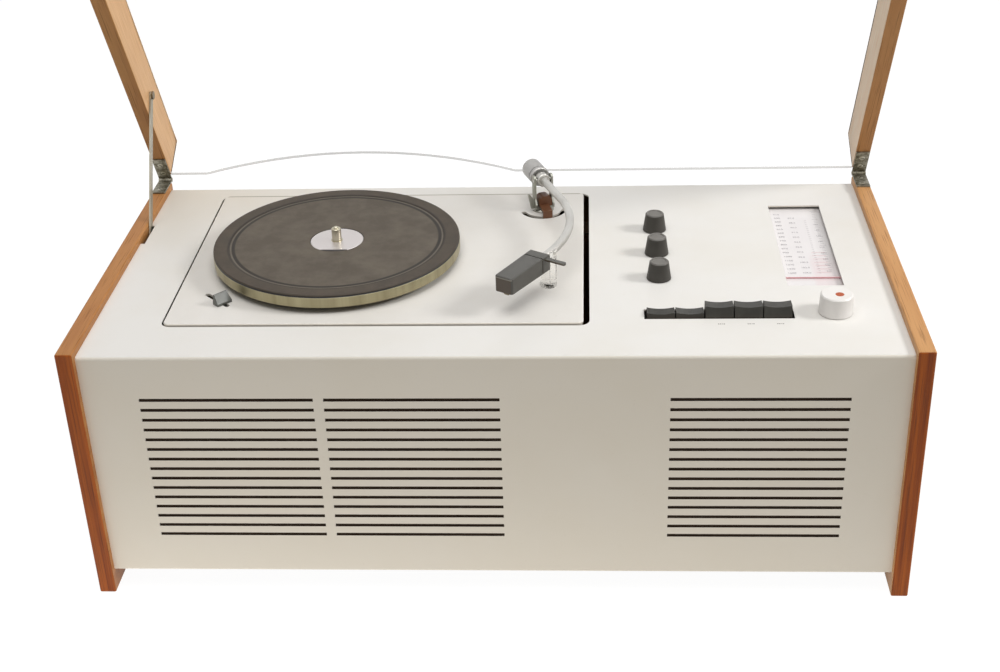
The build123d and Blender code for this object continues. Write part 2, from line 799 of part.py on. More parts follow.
groove_z = tray_bottom - 16
tuning_shaft = turned(tuning_x, tuning_y, [
    (0, groove_z - 6),
    (shaft_radius, groove_z - 6),
    (shaft_radius, groove_z - 4),
    (pulley_groove + 2, groove_z - 4),
    (pulley_groove, groove_z - 2),
    (pulley_groove, groove_z + 2),
    (pulley_groove + 2, groove_z + 4),
    (shaft_radius, groove_z + 4),
    (shaft_radius, knob_low + 9.8),
    (0, knob_low + 9.8),
])
finish(tuning_shaft, "tuning_shaft")

# ---------------------------------------------------------------- three knobs and their controls
recess_depth = 3.2
for knob_name, knob_y in zip(knob_names, knob_ys):
    knob = turned(knob_x, knob_y, [
        (0, shell_top - 14),
        (shaft_radius, shell_top - 14),
        (shaft_radius, knob_low + recess_depth),
        (bush_radius + 1.6, knob_low + recess_depth),
        (bush_radius + 1.6, knob_low),
        (knob_base, knob_low),
        (knob_top, knob_low + knob_height - 0.7),
        (knob_top - 0.7, knob_low + knob_height),
        (knob_top - 1.6, knob_low + knob_height),
        (knob_top - 2.2, knob_low + knob_height - 0.5),
        (0, knob_low + knob_height - 0.5),
    ])
    finish(knob, knob_name)

with BuildPart() as control_pots:
    for knob_y in knob_ys:
        with BuildSketch(standing(knob_x, knob_y)):
            with BuildLine():
                Polyline(
                    (0, shell_top - 29), (12, shell_top - 29), (12, shell_top - 17), (7, shell_top - 17),
                    (7, shell_under), (bush_radius, shell_under), (bush_radius, shell_top + bush_proud),
                    (shaft_radius + running, shell_top + bush_proud),
                    (shaft_radius + running, shell_top - 14.3), (0, shell_top - 14.3), close=True)
            make_face()
        revolve(axis=plumb(knob_x, knob_y))
        # row of soldering tags
        with BuildSketch(level(shell_top - 26)):
            with Locations((knob_x + 13, knob_y)):
                with GridLocations(0, 6, 1, 3):
                    Rectangle(8, 2.4)
        extrude(amount=0.8)
finish(control_pots, "control_pots")

# ---------------------------------------------------------------- push keys and their frame
key_top = shell_top + key_proud
guide_high, guide_low = shell_top - 16.0, shell_top - 42.0
guide_left = key_centre_x - key_slot_width / 2 - 4
guide_right = key_centre_x + key_slot_width / 2 + 4
stem_y = (key_front + key_back) / 2
key_xs = [key_centre_x + (index - (key_count - 1) / 2) * key_pitch for index in range(key_count)]

with BuildPart() as key_frame:
    for plate_z in (guide_high - sheet, guide_low - sheet):
        with BuildSketch(level(plate_z)):
            with Locations(((guide_left + guide_right) / 2, stem_y)):
                Rectangle(guide_right - guide_left, 26)
            with Locations(*[(x, stem_y) for x in key_xs]):
                Rectangle(stem_width + 2 * guide_gap, stem_depth + 2 * guide_gap, mode=Mode.SUBTRACT)
        extrude(amount=sheet)
    for wall_x in (guide_left, guide_right - sheet):
        with BuildSketch(sideways(wall_x)):
            with Locations((stem_y, (guide_low - sheet + shell_under) / 2)):
                Rectangle(26, shell_under - guide_low + sheet)
        extrude(amount=sheet)
finish(key_frame, "key_frame")

for index, key_x in enumerate(key_xs):
    top = key_top - (key_travel if index < keys_down else 0)
    with BuildPart() as key:
        with BuildSketch(sideways(key_x - (key_pitch - key_gap) / 2)):
            with BuildLine():
                Polyline((key_front, top - key_depth), (key_front, top - key_proud + 0.6),
                         (key_front + key_lean, top + key_rise - 0.8),
                         (key_front + key_lean + 0.8, top + key_rise), (key_back, top),
                         (key_back, top - key_depth), close=True)
            make_face()
        extrude(amount=key_pitch - key_gap)
        # hollow for the finger tip
        with BuildSketch(Plane(origin=(key_x, key_back - middle_y, top - 1.3 + key_scoop), x_dir=(1, 0, 0),
                               z_dir=(0, key_front + key_lean - key_back, key_rise))):
            Circle(key_scoop)
        extrude(amount=1.5 * (key_back - key_front), both=True, mode=Mode.SUBTRACT)
        with BuildSketch(level(top - key_depth - stem_length)):
            with Locations((key_x, stem_y)):
                Rectangle(stem_width, stem_depth)
        extrude(amount=stem_length)
    finish(key, f"key_{index + 1}")

# ---------------------------------------------------------------- deck plate and its buffers
pulley_x = platter_x + pulley_reach * cos(radians(pulley_bearing))
pulley_y = platter_y + pulley_reach * sin(radians(pulley_bearing))
idler_reach = platter_inner - idler_radius - contact_gap
idler_pulley = idler_radius + pulley_steps[pulley_used] + contact_gap
idler_turn = degrees(acos((pulley_reach ** 2 + idler_reach ** 2 - idler_pulley ** 2)
                          / (2 * pulley_reach * idler_reach)))
idler_x = platter_x + idler_reach * cos(radians(pulley_bearing + idler_turn))
idler_y = platter_y + idler_reach * sin(radians(pulley_bearing + idler_turn))
bearing_radius = 8.0
arm_bush_radius = 5.5
peg_radius = 2.5
lever_x = lever_slot_x + lever_along * cos(radians(lever_turn))
lever_y = lever_slot_y + lever_along * sin(radians(lever_turn))

with BuildPart() as deck_plate:
    with BuildSketch(level(deck_top - deck_skirt)):
        with Locations(((deck_left + deck_right) / 2, (deck_front + deck_back) / 2)):
            RectangleRounded(deck_right - deck_left, deck_back - deck_front, deck_corner)
    extrude(amount=deck_skirt)
    fillet(deck_plate.faces().sort_by(Axis.Z)[-1].edges(), 1.0)
    with BuildSketch(level(deck_top - deck_skirt)):
        with Locations(((deck_left + deck_right) / 2, (deck_front + deck_back) / 2)):
            RectangleRounded(deck_right - deck_left - 2 * deck_sheet, deck_back - deck_front - 2 * deck_sheet,
                             deck_corner - deck_sheet)
    extrude(amount=deck_skirt - deck_sheet, mode=Mode.SUBTRACT)
    with BuildSketch(level(deck_top)):
        with Locations((platter_x, platter_y)):
            Circle(bearing_radius + snug)
        with Locations((pulley_x, pulley_y)):
            Circle(pulley_steps[0] + 3)
        with Locations((arm_x, arm_y)):
            Circle(arm_bush_radius + snug)
        with Locations((rest_x, rest_y)):
            Circle(peg_radius + snug)
        with Locations((lever_slot_x, lever_slot_y)):
            SlotOverall(lever_slot, lever_slot_width, rotation=lever_turn)
        with BuildLine():
            CenterArc((arm_x, arm_y), arm_slot_radius, arm_slot_from, arm_slot_to - arm_slot_from)
            offset(amount=arm_slot_width / 2)
        make_face()
    extrude(amount=cut, both=True, mode=Mode.SUBTRACT)
finish(deck_plate, "deck_plate")

with BuildPart() as deck_buffers:
    for buffer_x in buffer_xs:
        for buffer_y in buffer_ys:
            with BuildSketch(standing(buffer_x, buffer_y)):
                with BuildLine():
                    Polyline((0, shelf_top), (buffer_radius, shelf_top), (buffer_radius, shelf_top + 5),
                             (buffer_radius - 2.5, (shelf_top + deck_under) / 2),
                             (buffer_radius, deck_under - 5), (buffer_radius, deck_under),
                             (0, deck_under), close=True)
                make_face()
            revolve(axis=plumb(buffer_x, buffer_y))
finish(deck_buffers, "deck_buffers")

# ---------------------------------------------------------------- platter and its bearing
bearing_low = 150.0
bearing_high = deck_top + 1.2

platter_bearing = turned(platter_x, platter_y, [
    (0, bearing_low), (bearing_radius, bearing_low), (bearing_radius, deck_under - 3), (16, deck_under - 3),
    (16, deck_under), (bearing_radius, deck_under), (bearing_radius, bearing_high),
    (bearing_shaft_radius + running, bearing_high), (bearing_shaft_radius + running, bearing_low + 2.5),
    (0, bearing_low + 2.5),
])
finish(platter_bearing, "platter_bearing")

platter = turned(platter_x, platter_y, [
    (bearing_shaft_radius + snug, bearing_high + contact_gap),
    (hub_radius, bearing_high + contact_gap),
    (hub_radius, web_top - platter_web - 2),
    (hub_radius + 4, web_top - platter_web),
    (platter_inner, web_top - platter_web),
    (platter_inner, rim_low),
    (platter_radius - 1.5, rim_low),
    (platter_radius, rim_low + 1.2),
    (platter_radius, web_top - 0.8),
    (platter_radius - 0.8, web_top),
    (bearing_shaft_radius + snug, web_top),
])
finish(platter, "platter")

mat_edge = platter_radius - 0.6
platter_mat = turned(platter_x, platter_y, [
    (mat_hole, web_top),
    (mat_edge, web_top),
    (mat_edge + 0.4, web_top + 0.7),
    (mat_edge - 0.3, mat_top),
    (mat_ring + 1.0, mat_top),
    (mat_ring, mat_top - mat_step),
    (mat_hole, mat_top - mat_step),
])
finish(platter_mat, "platter_mat")

with BuildPart() as centre_disc:
    with BuildSketch(level(web_top)):
        with Locations((platter_x, platter_y)):
            Circle(disc_radius)
            Circle(bearing_shaft_radius + snug, mode=Mode.SUBTRACT)
            with Locations((0, -disc_flat - disc_radius / 2)):
                Rectangle(2 * disc_radius, disc_radius, mode=Mode.SUBTRACT)
    extrude(amount=disc_thickness)
    chamfer(centre_disc.faces().sort_by(Axis.Z)[-1].edges().filter_by(GeomType.CIRCLE).sort_by(SortBy.LENGTH)[-1],
            0.4)
finish(centre_disc, "centre_disc")

spindle = turned(platter_x, platter_y, [
    (0, bearing_low + 2.8), (bearing_shaft_radius, bearing_low + 2.8),
    (bearing_shaft_radius, web_top + disc_thickness), (spindle_radius, web_top + disc_thickness),
    (spindle_radius, mat_top + spindle_proud),
    (spindle_radius - 0.4, mat_top + spindle_proud + 0.4),
    (tip_radius, mat_top + spindle_proud + 0.4),
    (tip_radius, mat_top + spindle_proud + spindle_tip),
    (tip_radius - 0.5, mat_top + spindle_proud + spindle_tip + 0.5),
    (0, mat_top + spindle_proud + spindle_tip + 0.5),
])
finish(spindle, "spindle")

# ---------------------------------------------------------------- motor, stepped pulley and idler
tyre_low = rim_low + 0.4
used_low = tyre_low + tyre_thickness / 2 - step_height / 2
pulley_low = used_low - pulley_used * step_height
motor_high, motor_low = 184.0, 152.0
motor_post = 21.0

with BuildPart() as motor:
    # laminated block with end bells
    with BuildSketch(level(motor_low + 8)):
        with Locations((pulley_x, pulley_y)):
            RectangleRounded(motor_size, motor_size, 8)
    extrude(amount=motor_high - motor_low - 16)
    with BuildSketch(level(motor_low)):
        with Locations((pulley_x, pulley_y)):
            Circle(motor_size / 2 - 5)
    extrude(amount=motor_high - motor_low)
    # posts up to the deck
    with BuildSketch(level(motor_high - 10)):
        with Locations((pulley_x, pulley_y)):
            with PolarLocations(motor_post + 10, 4, start_angle=45):
                Circle(3.5)
    extrude(amount=deck_under - motor_high + 10)
    with BuildSketch(level(motor_high)):
        with Locations((pulley_x, pulley_y)):
            Circle(motor_shaft_radius + running)
    extrude(amount=-20, mode=Mode.SUBTRACT)
finish(motor, "motor")

pulley_outline = [(0, motor_high - 18), (motor_shaft_radius, motor_high - 18),
                  (motor_shaft_radius, pulley_low - 4), (pulley_steps[0], pulley_low - 4)]
for step, radius in enumerate(pulley_steps):
    if step:
        pulley_outline.append((radius, pulley_low + step * step_height))
    pulley_outline.append((radius, pulley_low + (step + 1) * step_height))
pulley_outline.append((0, pulley_low + len(pulley_steps) * step_height))
motor_pulley = turned(pulley_x, pulley_y, pulley_outline)
finish(motor_pulley, "motor_pulley")

pin_radius = 1.5
idler_low = tyre_low - 0.8
idler_wheel = turned(idler_x, idler_y, [
    (pin_radius + running, idler_low), (4, idler_low), (4, tyre_low + 0.3),
    (idler_radius - 2.5, tyre_low + 0.3), (idler_radius - 2.5, tyre_low), (idler_radius - 0.4, tyre_low),
    (idler_radius, tyre_low + 0.4), (idler_radius, tyre_low + tyre_thickness - 0.4),
    (idler_radius - 0.4, tyre_low + tyre_thickness), (idler_radius - 2.5, tyre_low + tyre_thickness),
    (idler_radius - 2.5, tyre_low + tyre_thickness - 0.3), (4, tyre_low + tyre_thickness - 0.3),
    (4, tyre_low + tyre_thickness + 0.8), (pin_radius + running, tyre_low + tyre_thickness + 0.8),
])
finish(idler_wheel, "idler_wheel")

bracket_turn = 62.0
bracket_length = 30.0
with BuildPart() as idler_bracket:
    with BuildSketch(level(idler_low - 0.3 - sheet)):
        with Locations((idler_x, idler_y)):
            with Locations((bracket_length / 2 * cos(radians(bracket_turn)),
                            bracket_length / 2 * sin(radians(bracket_turn)))):
                SlotCenterToCenter(bracket_length, 8, rotation=bracket_turn)
    extrude(amount=sheet)
    with BuildSketch(level(idler_low - 0.3 - sheet)):
        with Locations((idler_x, idler_y)):
            Circle(pin_radius)
    extrude(amount=sheet + 0.3 + tyre_thickness + 2.2)
    with BuildSketch(level(deck_top)):
        with Locations((idler_x + bracket_length * cos(radians(bracket_turn)),
                        idler_y + bracket_length * sin(radians(bracket_turn)))):
            Circle(3.5)
    extrude(amount=idler_low - 0.3 - deck_top)
finish(idler_bracket, "idler_bracket")

# ---------------------------------------------------------------- speed lever
lever_low = deck_top + 0.3
lever_foot, lever_rise = 1.6, 7.4             # heights of the cap's upright foot and of its ridge
lever_cap = (6.2, 12.0)                       # its foot, along and across the slot
lever_ridge = (1.4, 10.4)
lever_lean = 2.0                              # the ridge lies this far behind the middle of the foot
neck_length = 5.0
cam_length, cam_width = 16.0, 11.0
cam_low = deck_under - 2.5


def lever_plane(height):
    """Horizontal plane at the lever; local x runs along its slot."""
    return Plane(origin=(lever_x, lever_y - middle_y, height),
                 x_dir=(cos(radians(lever_turn)), sin(radians(lever_turn)), 0), z_dir=(0, 0, 1))


with BuildPart() as speed_lever:
    # wedge-shaped cap
    with BuildSketch(lever_plane(lever_low)):
        Rectangle(*lever_cap)
    extrude(amount=lever_foot)
    with BuildSketch(lever_plane(lever_low + lever_foot)):
        Rectangle(*lever_cap)
    with BuildSketch(lever_plane(lever_low + lever_rise)):
        with Locations((-lever_lean, 0)):
            Rectangle(*lever_ridge)
    loft()
    # neck through the slot, and the cam plate under the deck
    with BuildSketch(lever_plane(cam_low)):
        Rectangle(neck_length, lever_slot_width - 0.5)
    extrude(amount=lever_low + 1 - cam_low)
    with BuildSketch(lever_plane(cam_low)):
        Rectangle(cam_length, cam_width)
    extrude(amount=1.6)
finish(speed_lever, "speed_lever")

# ---------------------------------------------------------------- tone arm
arm_run = hypot(*arm_corner)
arm_way = (arm_corner[0] / arm_run, arm_corner[1] / arm_run)
head_run = hypot(arm_end[0] - arm_corner[0], arm_end[1] - arm_corner[1])
head_way = ((arm_end[0] - arm_corner[0]) / head_run, (arm_end[1] - arm_corner[1]) / head_run)


def arm_plane(height=0.0):
    """Plane of the arm's tube at rest, falling gently to the head; local origin at the arm's pivot."""
    slope = radians(arm_slope)
    return Plane(origin=(arm_x, arm_y - middle_y, arm_z), x_dir=(1, 0, 0),
                 z_dir=(0, -sin(slope), cos(slope))).offset(height)


def along_arm(distance):
    """Plane square to the tube, at a distance from the pivot towards the head, facing the head."""
    base = arm_plane()
    start = base.from_local_coords((arm_way[0] * distance, arm_way[1] * distance, 0))
    ahead = base.from_local_coords((arm_way[0] * (distance + 1), arm_way[1] * (distance + 1), 0)) - start
    across = base.from_local_coords((-arm_way[1] + arm_way[0] * distance,
                                     arm_way[0] + arm_way[1] * distance, 0)) - start
    return Plane(origin=start, x_dir=across, z_dir=ahead)


arm_bush_low = 172.0
arm_bush_high = deck_top + 2.2
fork_shaft = 3.0
fork_low = arm_bush_high + 0.3
arm_bearing = turned(arm_x, arm_y, [
    (fork_shaft + running, arm_bush_low), (arm_bush_radius, arm_bush_low),
    (arm_bush_radius, deck_under - 3), (9, deck_under - 3), (9, deck_under), (arm_bush_radius, deck_under),
    (arm_bush_radius, deck_top), (8.5, deck_top), (8.5, deck_top + 0.9), (6, arm_bush_high),
    (fork_shaft + running, arm_bush_high),
])
finish(arm_bearing, "arm_bearing")

arm_pin_radius = 1.5
cheek_half = fork_gap / 2 + fork_sheet
fork_depth = 10.0
fork_foot = 6.0             # height of the cheeks' full depth
neck_half = 2.8             # half their depth above that
fork_top = arm_z + 4.0
prong_out, prong_rise = 5.0, 12.5
prong_root = 5.5            # its height where it leaves the cheek


def fork_plane(height):
    """Horizontal plane at the arm's pivot, turned to the arm: local y points back along the tube."""
    return Plane(origin=(arm_x, arm_y - middle_y, height), x_dir=(-arm_way[1], arm_way[0], 0),
                 z_dir=(0, 0, 1))


def fork_cheek(across):
    """Vertical plane along the arm, at a distance to the right of the pivot."""
    return Plane(origin=(arm_x - arm_way[1] * across, arm_y - middle_y + arm_way[0] * across, arm_z),
                 x_dir=(arm_way[0] * -1, arm_way[1] * -1, 0), z_dir=(-arm_way[1], arm_way[0], 0))


def fork_back(distance):
    """Vertical plane across the fork, at a distance behind the pivot: local x runs to the right."""
    return Plane(origin=(arm_x - arm_way[0] * distance, arm_y - middle_y - arm_way[1] * distance, arm_z),
                 x_dir=(-arm_way[1], arm_way[0], 0), z_dir=(arm_way[0], arm_way[1], 0))


with BuildPart() as arm_fork:
    with BuildSketch(fork_plane(fork_low)):
        RectangleRounded(2 * cheek_half, fork_depth, 1)
    extrude(amount=fork_sheet)
    for face in (-cheek_half, fork_gap / 2):
        with BuildSketch(fork_cheek(face)):
            with BuildLine():
                Polyline((-fork_depth / 2, fork_low - arm_z), (fork_depth / 2, fork_low - arm_z),
                         (fork_depth / 2, fork_low - arm_z + fork_foot - 2),
                         (neck_half, fork_low - arm_z + fork_foot + 2), (neck_half, fork_top - arm_z - 1.4),
                         (neck_half - 1.4, fork_top - arm_z), (1.4 - neck_half, fork_top - arm_z),
                         (-neck_half, fork_top - arm_z - 1.4), (-neck_half, fork_low - arm_z + fork_foot + 2),
                         (-fork_depth / 2, fork_low - arm_z + fork_foot - 2), close=True)
            make_face()
            Circle(arm_pin_radius + running, mode=Mode.SUBTRACT)
        extrude(amount=fork_sheet)
    # prong that leans out beside the left cheek
    with BuildSketch(fork_back(0)):
        with BuildLine():
            Polyline((0.6 - cheek_half, fork_low - arm_z), (-cheek_half - prong_out / 2, fork_low - arm_z),
                     (-cheek_half - prong_out, fork_low - arm_z + prong_rise - 0.5),
                     (1.5 - cheek_half - prong_out, fork_low - arm_z + prong_rise),
                     (0.6 - cheek_half, fork_low - arm_z + prong_root), close=True)
        make_face()
    extrude(amount=fork_sheet)
    with BuildSketch(level(arm_bush_low - 4)):
        with Locations((arm_x, arm_y)):
            Circle(fork_shaft)
    extrude(amount=fork_low - arm_bush_low + 4)
finish(arm_fork, "arm_fork")

block_width, block_depth, block_high = 10.6, 9.0, 8.6
block_right = 0.7           # middle of the block to the right of the fork's
tongue_width, tongue_depth = 7.2, 2.8
tongue_low = deck_under - 8
tongue_centre = (arm_x + arm_slot_radius * cos(radians(tongue_angle)),
                 arm_y + arm_slot_radius * sin(radians(tongue_angle)))
with BuildPart() as arm_block:
    with BuildSketch(fork_plane(fork_low + fork_sheet)):
        with Locations((block_right, 0)):
            Rectangle(block_width, block_depth)
    extrude(amount=block_high)
    fillet(arm_block.faces().sort_by(Axis.Z)[-1].edges().sort_by(SortBy.LENGTH)[:2], 4)
    # foot forward to the tongue that passes through the curved slot
    with BuildSketch(level(fork_low + fork_sheet)):
        with Locations((arm_x + (arm_slot_radius / 2 + 1) * cos(radians(tongue_angle)),
                        arm_y + (arm_slot_radius / 2 + 1) * sin(radians(tongue_angle)))):
            Rectangle(arm_slot_radius + tongue_depth - 2, tongue_width, rotation=tongue_angle)
    extrude(amount=2)
    with BuildSketch(level(tongue_low)):
        with Locations(tongue_centre):
            Rectangle(tongue_depth, tongue_width, rotation=tongue_angle)
    extrude(amount=fork_low + fork_sheet + 2 - tongue_low)
finish(arm_block, "arm_block")

tube_tail = weight_back + weight_length - 1.0
tube_plug = 8.0             # how far the tube reaches into the head
with BuildPart() as arm_tube:
    with BuildLine(arm_plane()) as arm_path:
        FilletPolyline((-arm_way[0] * tube_tail, -arm_way[1] * tube_tail), arm_corner,
                       (arm_end[0] + head_way[0] * tube_plug, arm_end[1] + head_way[1] * tube_plug),
                       radius=arm_bend)
    with BuildSketch(along_arm(-tube_tail)):
        Circle(arm_tube_radius)
    sweep(path=arm_path.line)
    # collar that carries the pivots
    with BuildSketch(along_arm(-collar_length / 2)):
        Circle(collar_radius)
    extrude(amount=collar_length)
    chamfer(arm_tube.edges().filter_by(GeomType.CIRCLE).sort_by(SortBy.RADIUS)[-2:], 0.6)
    with BuildSketch(fork_cheek(-cheek_half)):
        Circle(arm_pin_radius)
    extrude(amount=2 * cheek_half)
finish(arm_tube, "arm_tube")

ring_length = 4.5           # of the ring in front of its groove
with BuildPart() as counterweight:
    with BuildSketch(along_arm(-weight_back - weight_length)):
        Circle(weight_radius)
    extrude(amount=weight_length)
    chamfer(counterweight.edges().filter_by(GeomType.CIRCLE), 0.8)
    with BuildSketch(along_arm(-weight_back - ring_length)):
        Circle(weight_radius + 1)
        Circle(weight_radius - 0.6, mode=Mode.SUBTRACT)
    extrude(amount=0.8, mode=Mode.SUBTRACT)
    with BuildSketch(along_arm(-tube_tail - 0.2)):
        Circle(arm_tube_radius + snug)
    extrude(amount=weight_length + 4, mode=Mode.SUBTRACT)
finish(counterweight, "counterweight")


def head_plane(height):
    """Plane of the head, square to the arm's tilt: local x runs forward from its rear, y to the right."""
    base = arm_plane()
    start = base.from_local_coords((arm_end[0], arm_end[1], height))
    ahead = base.from_local_coords((arm_end[0] + head_way[0], arm_end[1] + head_way[1], height)) - start
    return Plane(origin=start, x_dir=ahead, z_dir=base.z_dir)


head_wall, head_roof = 1.4, 1.8
head_floor = head_above_tube - head_height
plug_length = 9.0
lift_reach, lift_blade, lift_thickness = 17.0, 3.2, 1.6
lift_at = 5.0
with BuildPart() as head_shell:
    with BuildSketch(head_plane(head_floor)):
        with BuildLine():
            Polyline((0, -head_offset - head_width_rear / 2), (head_length, -head_offset - head_width_front / 2),
                     (head_length, -head_offset + head_width_front / 2),
                     (0, -head_offset + head_width_rear / 2), close=True)
        make_face()
    extrude(amount=head_height)
    fillet(head_shell.edges().filter_by(Axis(origin=(0, 0, 0), direction=head_plane(0).z_dir)).sort_by(Axis.Y)[:2], 2)
    fillet(head_shell.faces().sort_by(Axis.Z)[-1].edges(), 1.0)
    # open underside for the pickup
    with BuildSketch(head_plane(head_floor)):
        with BuildLine():
            Polyline((plug_length + 2, -head_offset - head_width_rear / 2 + head_wall + 0.6),
                     (head_length - head_wall, -head_offset - head_width_front / 2 + head_wall),
                     (head_length - head_wall, -head_offset + head_width_front / 2 - head_wall),
                     (plug_length + 2, -head_offset + head_width_rear / 2 - head_wall - 0.6), close=True)
        make_face()
    extrude(amount=head_height - head_roof, mode=Mode.SUBTRACT)
    # parting groove between the plug and the head
    with BuildSketch(head_plane(head_floor - 1)):
        with Locations((plug_length, -head_offset)):
            Rectangle(0.8, head_width_rear + 4)
            Rectangle(1.2, head_width_rear - 2, mode=Mode.SUBTRACT)
    extrude(amount=head_height + 2, mode=Mode.SUBTRACT)
    with BuildSketch(head_plane(head_above_tube - 0.6)):
        with Locations((plug_length, -head_offset)):
            Rectangle(0.8, head_width_rear + 4)
    extrude(amount=2, mode=Mode.SUBTRACT)
    # finger lift
    with BuildSketch(head_plane(head_above_tube - 1.0 - lift_thickness)):
        with Locations((lift_at, -head_offset + head_width_rear / 2 - 1 + lift_reach / 2)):
            RectangleRounded(lift_blade, lift_reach, 1.2)
    extrude(amount=lift_thickness)
    with BuildSketch(Plane(origin=head_plane(0).origin, x_dir=head_plane(0).y_dir, z_dir=head_plane(0).x_dir)):
        Circle(arm_tube_radius + snug)
    extrude(amount=tube_plug + 0.1, mode=Mode.SUBTRACT)
finish(head_shell, "head_shell")

pickup_start, pickup_length, pickup_width = 16.0, 25.0, 9.0
pickup_top = head_above_tube - head_roof
pickup_low = head_floor + 2.0
stylus_block = (6.4, 5.4)   # block at its front, along and across
stylus_at = pickup_start + pickup_length - stylus_block[0] / 2
block_low = head_floor - 2.0
stylus_tip = block_low - 0.4
with BuildPart() as cartridge:
    with BuildSketch(head_plane(pickup_low)):
        with Locations((pickup_start + pickup_length / 2, -head_offset)):
            Rectangle(pickup_length, pickup_width)
    extrude(amount=pickup_top - pickup_low)
    # block and stylus under the front
    with BuildSketch(head_plane(block_low)):
        with Locations((stylus_at, -head_offset)):
            Rectangle(*stylus_block)
    extrude(amount=pickup_low - block_low)
    with BuildSketch(head_plane(block_low)):
        with Locations((stylus_at, -head_offset)):
            Circle(0.9)
    with BuildSketch(head_plane(stylus_tip)):
        with Locations((stylus_at, -head_offset)):
            Circle(0.2)
    loft()
finish(cartridge, "cartridge")


def rest_height():
    """Height of the tube's axis where it crosses the rest."""
    return arm_z - (arm_y - rest_y) * sin(radians(arm_slope))


column_radius = 5.5
rest_base_radius = 6.2
saddle_low = rest_height() - arm_tube_radius - contact_gap
tube_past_rest = 0.72       # axis of the tube beyond the middle of the post, square to the tube
prong_inner = tube_past_rest + arm_tube_radius + contact_gap
prong_high = rest_height() + 3.3
with BuildPart() as arm_rest:
    with BuildSketch(standing(rest_x, rest_y)):
        with BuildLine():
            Polyline((0, deck_under - 3), (peg_radius, deck_under - 3), (peg_radius, deck_top),
                     (rest_base_radius, deck_top), (rest_base_radius, deck_top + 2.2),
                     (column_radius, deck_top + 3), (column_radius - 0.5, saddle_low), (0, saddle_low), close=True)
        make_face()
    revolve(axis=plumb(rest_x, rest_y))
    # prong on the outer side of the tube
    with BuildSketch(Plane(origin=(rest_x, rest_y - middle_y, deck_top + 1),
                           x_dir=(-head_way[1], head_way[0], 0), z_dir=(0, 0, 1))):
        Circle(rest_base_radius - 0.2)
        with Locations((prong_inner, 0)):
            Rectangle(3 * column_radius, 3 * column_radius, align=(Align.MAX, Align.CENTER), mode=Mode.SUBTRACT)
    extrude(amount=prong_high - deck_top - 1)
finish(arm_rest, "arm_rest")

# ---------------------------------------------------------------- hinges
hinge_middle = inner_x + side_thickness / 2
leaf_half = leaf_width / 2
knuckle_half = 1.8
leaf_front = -leaf_length - 2.0

with BuildPart() as hinge_leaves_body:
    for side in (-1, 1):
        middle = side * hinge_middle
        with BuildSketch(level(side_height)):
            with Locations((middle, hinge_y)):
                Rectangle(leaf_width, -leaf_front, align=(Align.CENTER, Align.MAX))
        extrude(amount=leaf)
        with BuildSketch(sideways(middle - leaf_half)):
            with Locations((hinge_y, hinge_z)):
                Circle(knuckle_radius)
        extrude(amount=leaf_width)
        # room for the other leaf's knuckle
        with BuildSketch(sideways(middle - knuckle_half - knuckle_gap / 2)):
            with Locations((hinge_y, hinge_z)):
                Rectangle(2 * knuckle_radius + 2 * knuckle_gap, 2 * knuckle_radius + 2 * knuckle_gap)
        extrude(amount=2 * knuckle_half + knuckle_gap, mode=Mode.SUBTRACT)
        with BuildSketch(sideways(middle - leaf_half)):
            with Locations((hinge_y, hinge_z)):
                Circle(hinge_pin_radius + hinge_clearance)
        extrude(amount=leaf_width, mode=Mode.SUBTRACT)
finish(hinge_leaves_body, "hinge_leaves_body")

with BuildPart() as hinge_leaves_lid:
    for side in (-1, 1):
        middle = side * hinge_middle
        with BuildSketch(lid_side(middle - leaf_half)):
            with Locations((0, cheek_low)):
                Rectangle(-leaf_front, leaf, align=(Align.MAX, Align.MAX))
        extrude(amount=leaf_width)
        for outer in (middle - leaf_half, middle + knuckle_half - knuckle_gap / 2):
            with BuildSketch(lid_side(outer)):
                Rectangle(2 * knuckle_radius + 2 * knuckle_gap, 2 * knuckle_radius + 2 * knuckle_gap)
            extrude(amount=leaf_half - knuckle_half + knuckle_gap / 2, mode=Mode.SUBTRACT)
        with BuildSketch(lid_side(middle - knuckle_half + knuckle_gap / 2)):
            Circle(knuckle_radius)
        extrude(amount=2 * knuckle_half - knuckle_gap)
        with BuildSketch(lid_side(middle - leaf_half)):
            Circle(hinge_pin_radius + hinge_clearance)
        extrude(amount=leaf_width, mode=Mode.SUBTRACT)
finish(hinge_leaves_lid, "hinge_leaves_lid")

# ---------------------------------------------------------------- lid and its stay
stay_left = -inner_x + stay_gap
stay_pin_depth = 3.0
pivot_y = hinge_y - stay_pivot_back * lid_cos + stay_pivot_up * lid_sin
pivot_z = hinge_z + stay_pivot_back * lid_sin + stay_pivot_up * lid_cos
stay_heading = degrees(atan2(shell_top - pivot_z, hinge_y - stay_entry - pivot_y))


def lid_cheek(name, left_face):
    with BuildPart() as cheek:
        with BuildSketch(lid_side(left_face)):
            with Locations(((cheek_back + cheek_front) / 2, (cheek_low + cheek_high) / 2)):
                Rectangle(cheek_back - cheek_front, cheek_height)
        extrude(amount=side_thickness)
        fillet(cheek.edges(), edge_round)
        if left_face < 0:
            # seat of the stay's pivot
            with BuildSketch(lid_side(-inner_x)):
                with Locations((-stay_pivot_back, stay_pivot_up)):
                    Circle(stay_pin_radius + snug)
            extrude(amount=-stay_pin_depth - 0.2, mode=Mode.SUBTRACT)
    finish(cheek, name)


lid_cheek("lid_cheek_left", -case_width / 2)
lid_cheek("lid_cheek_right", inner_x)

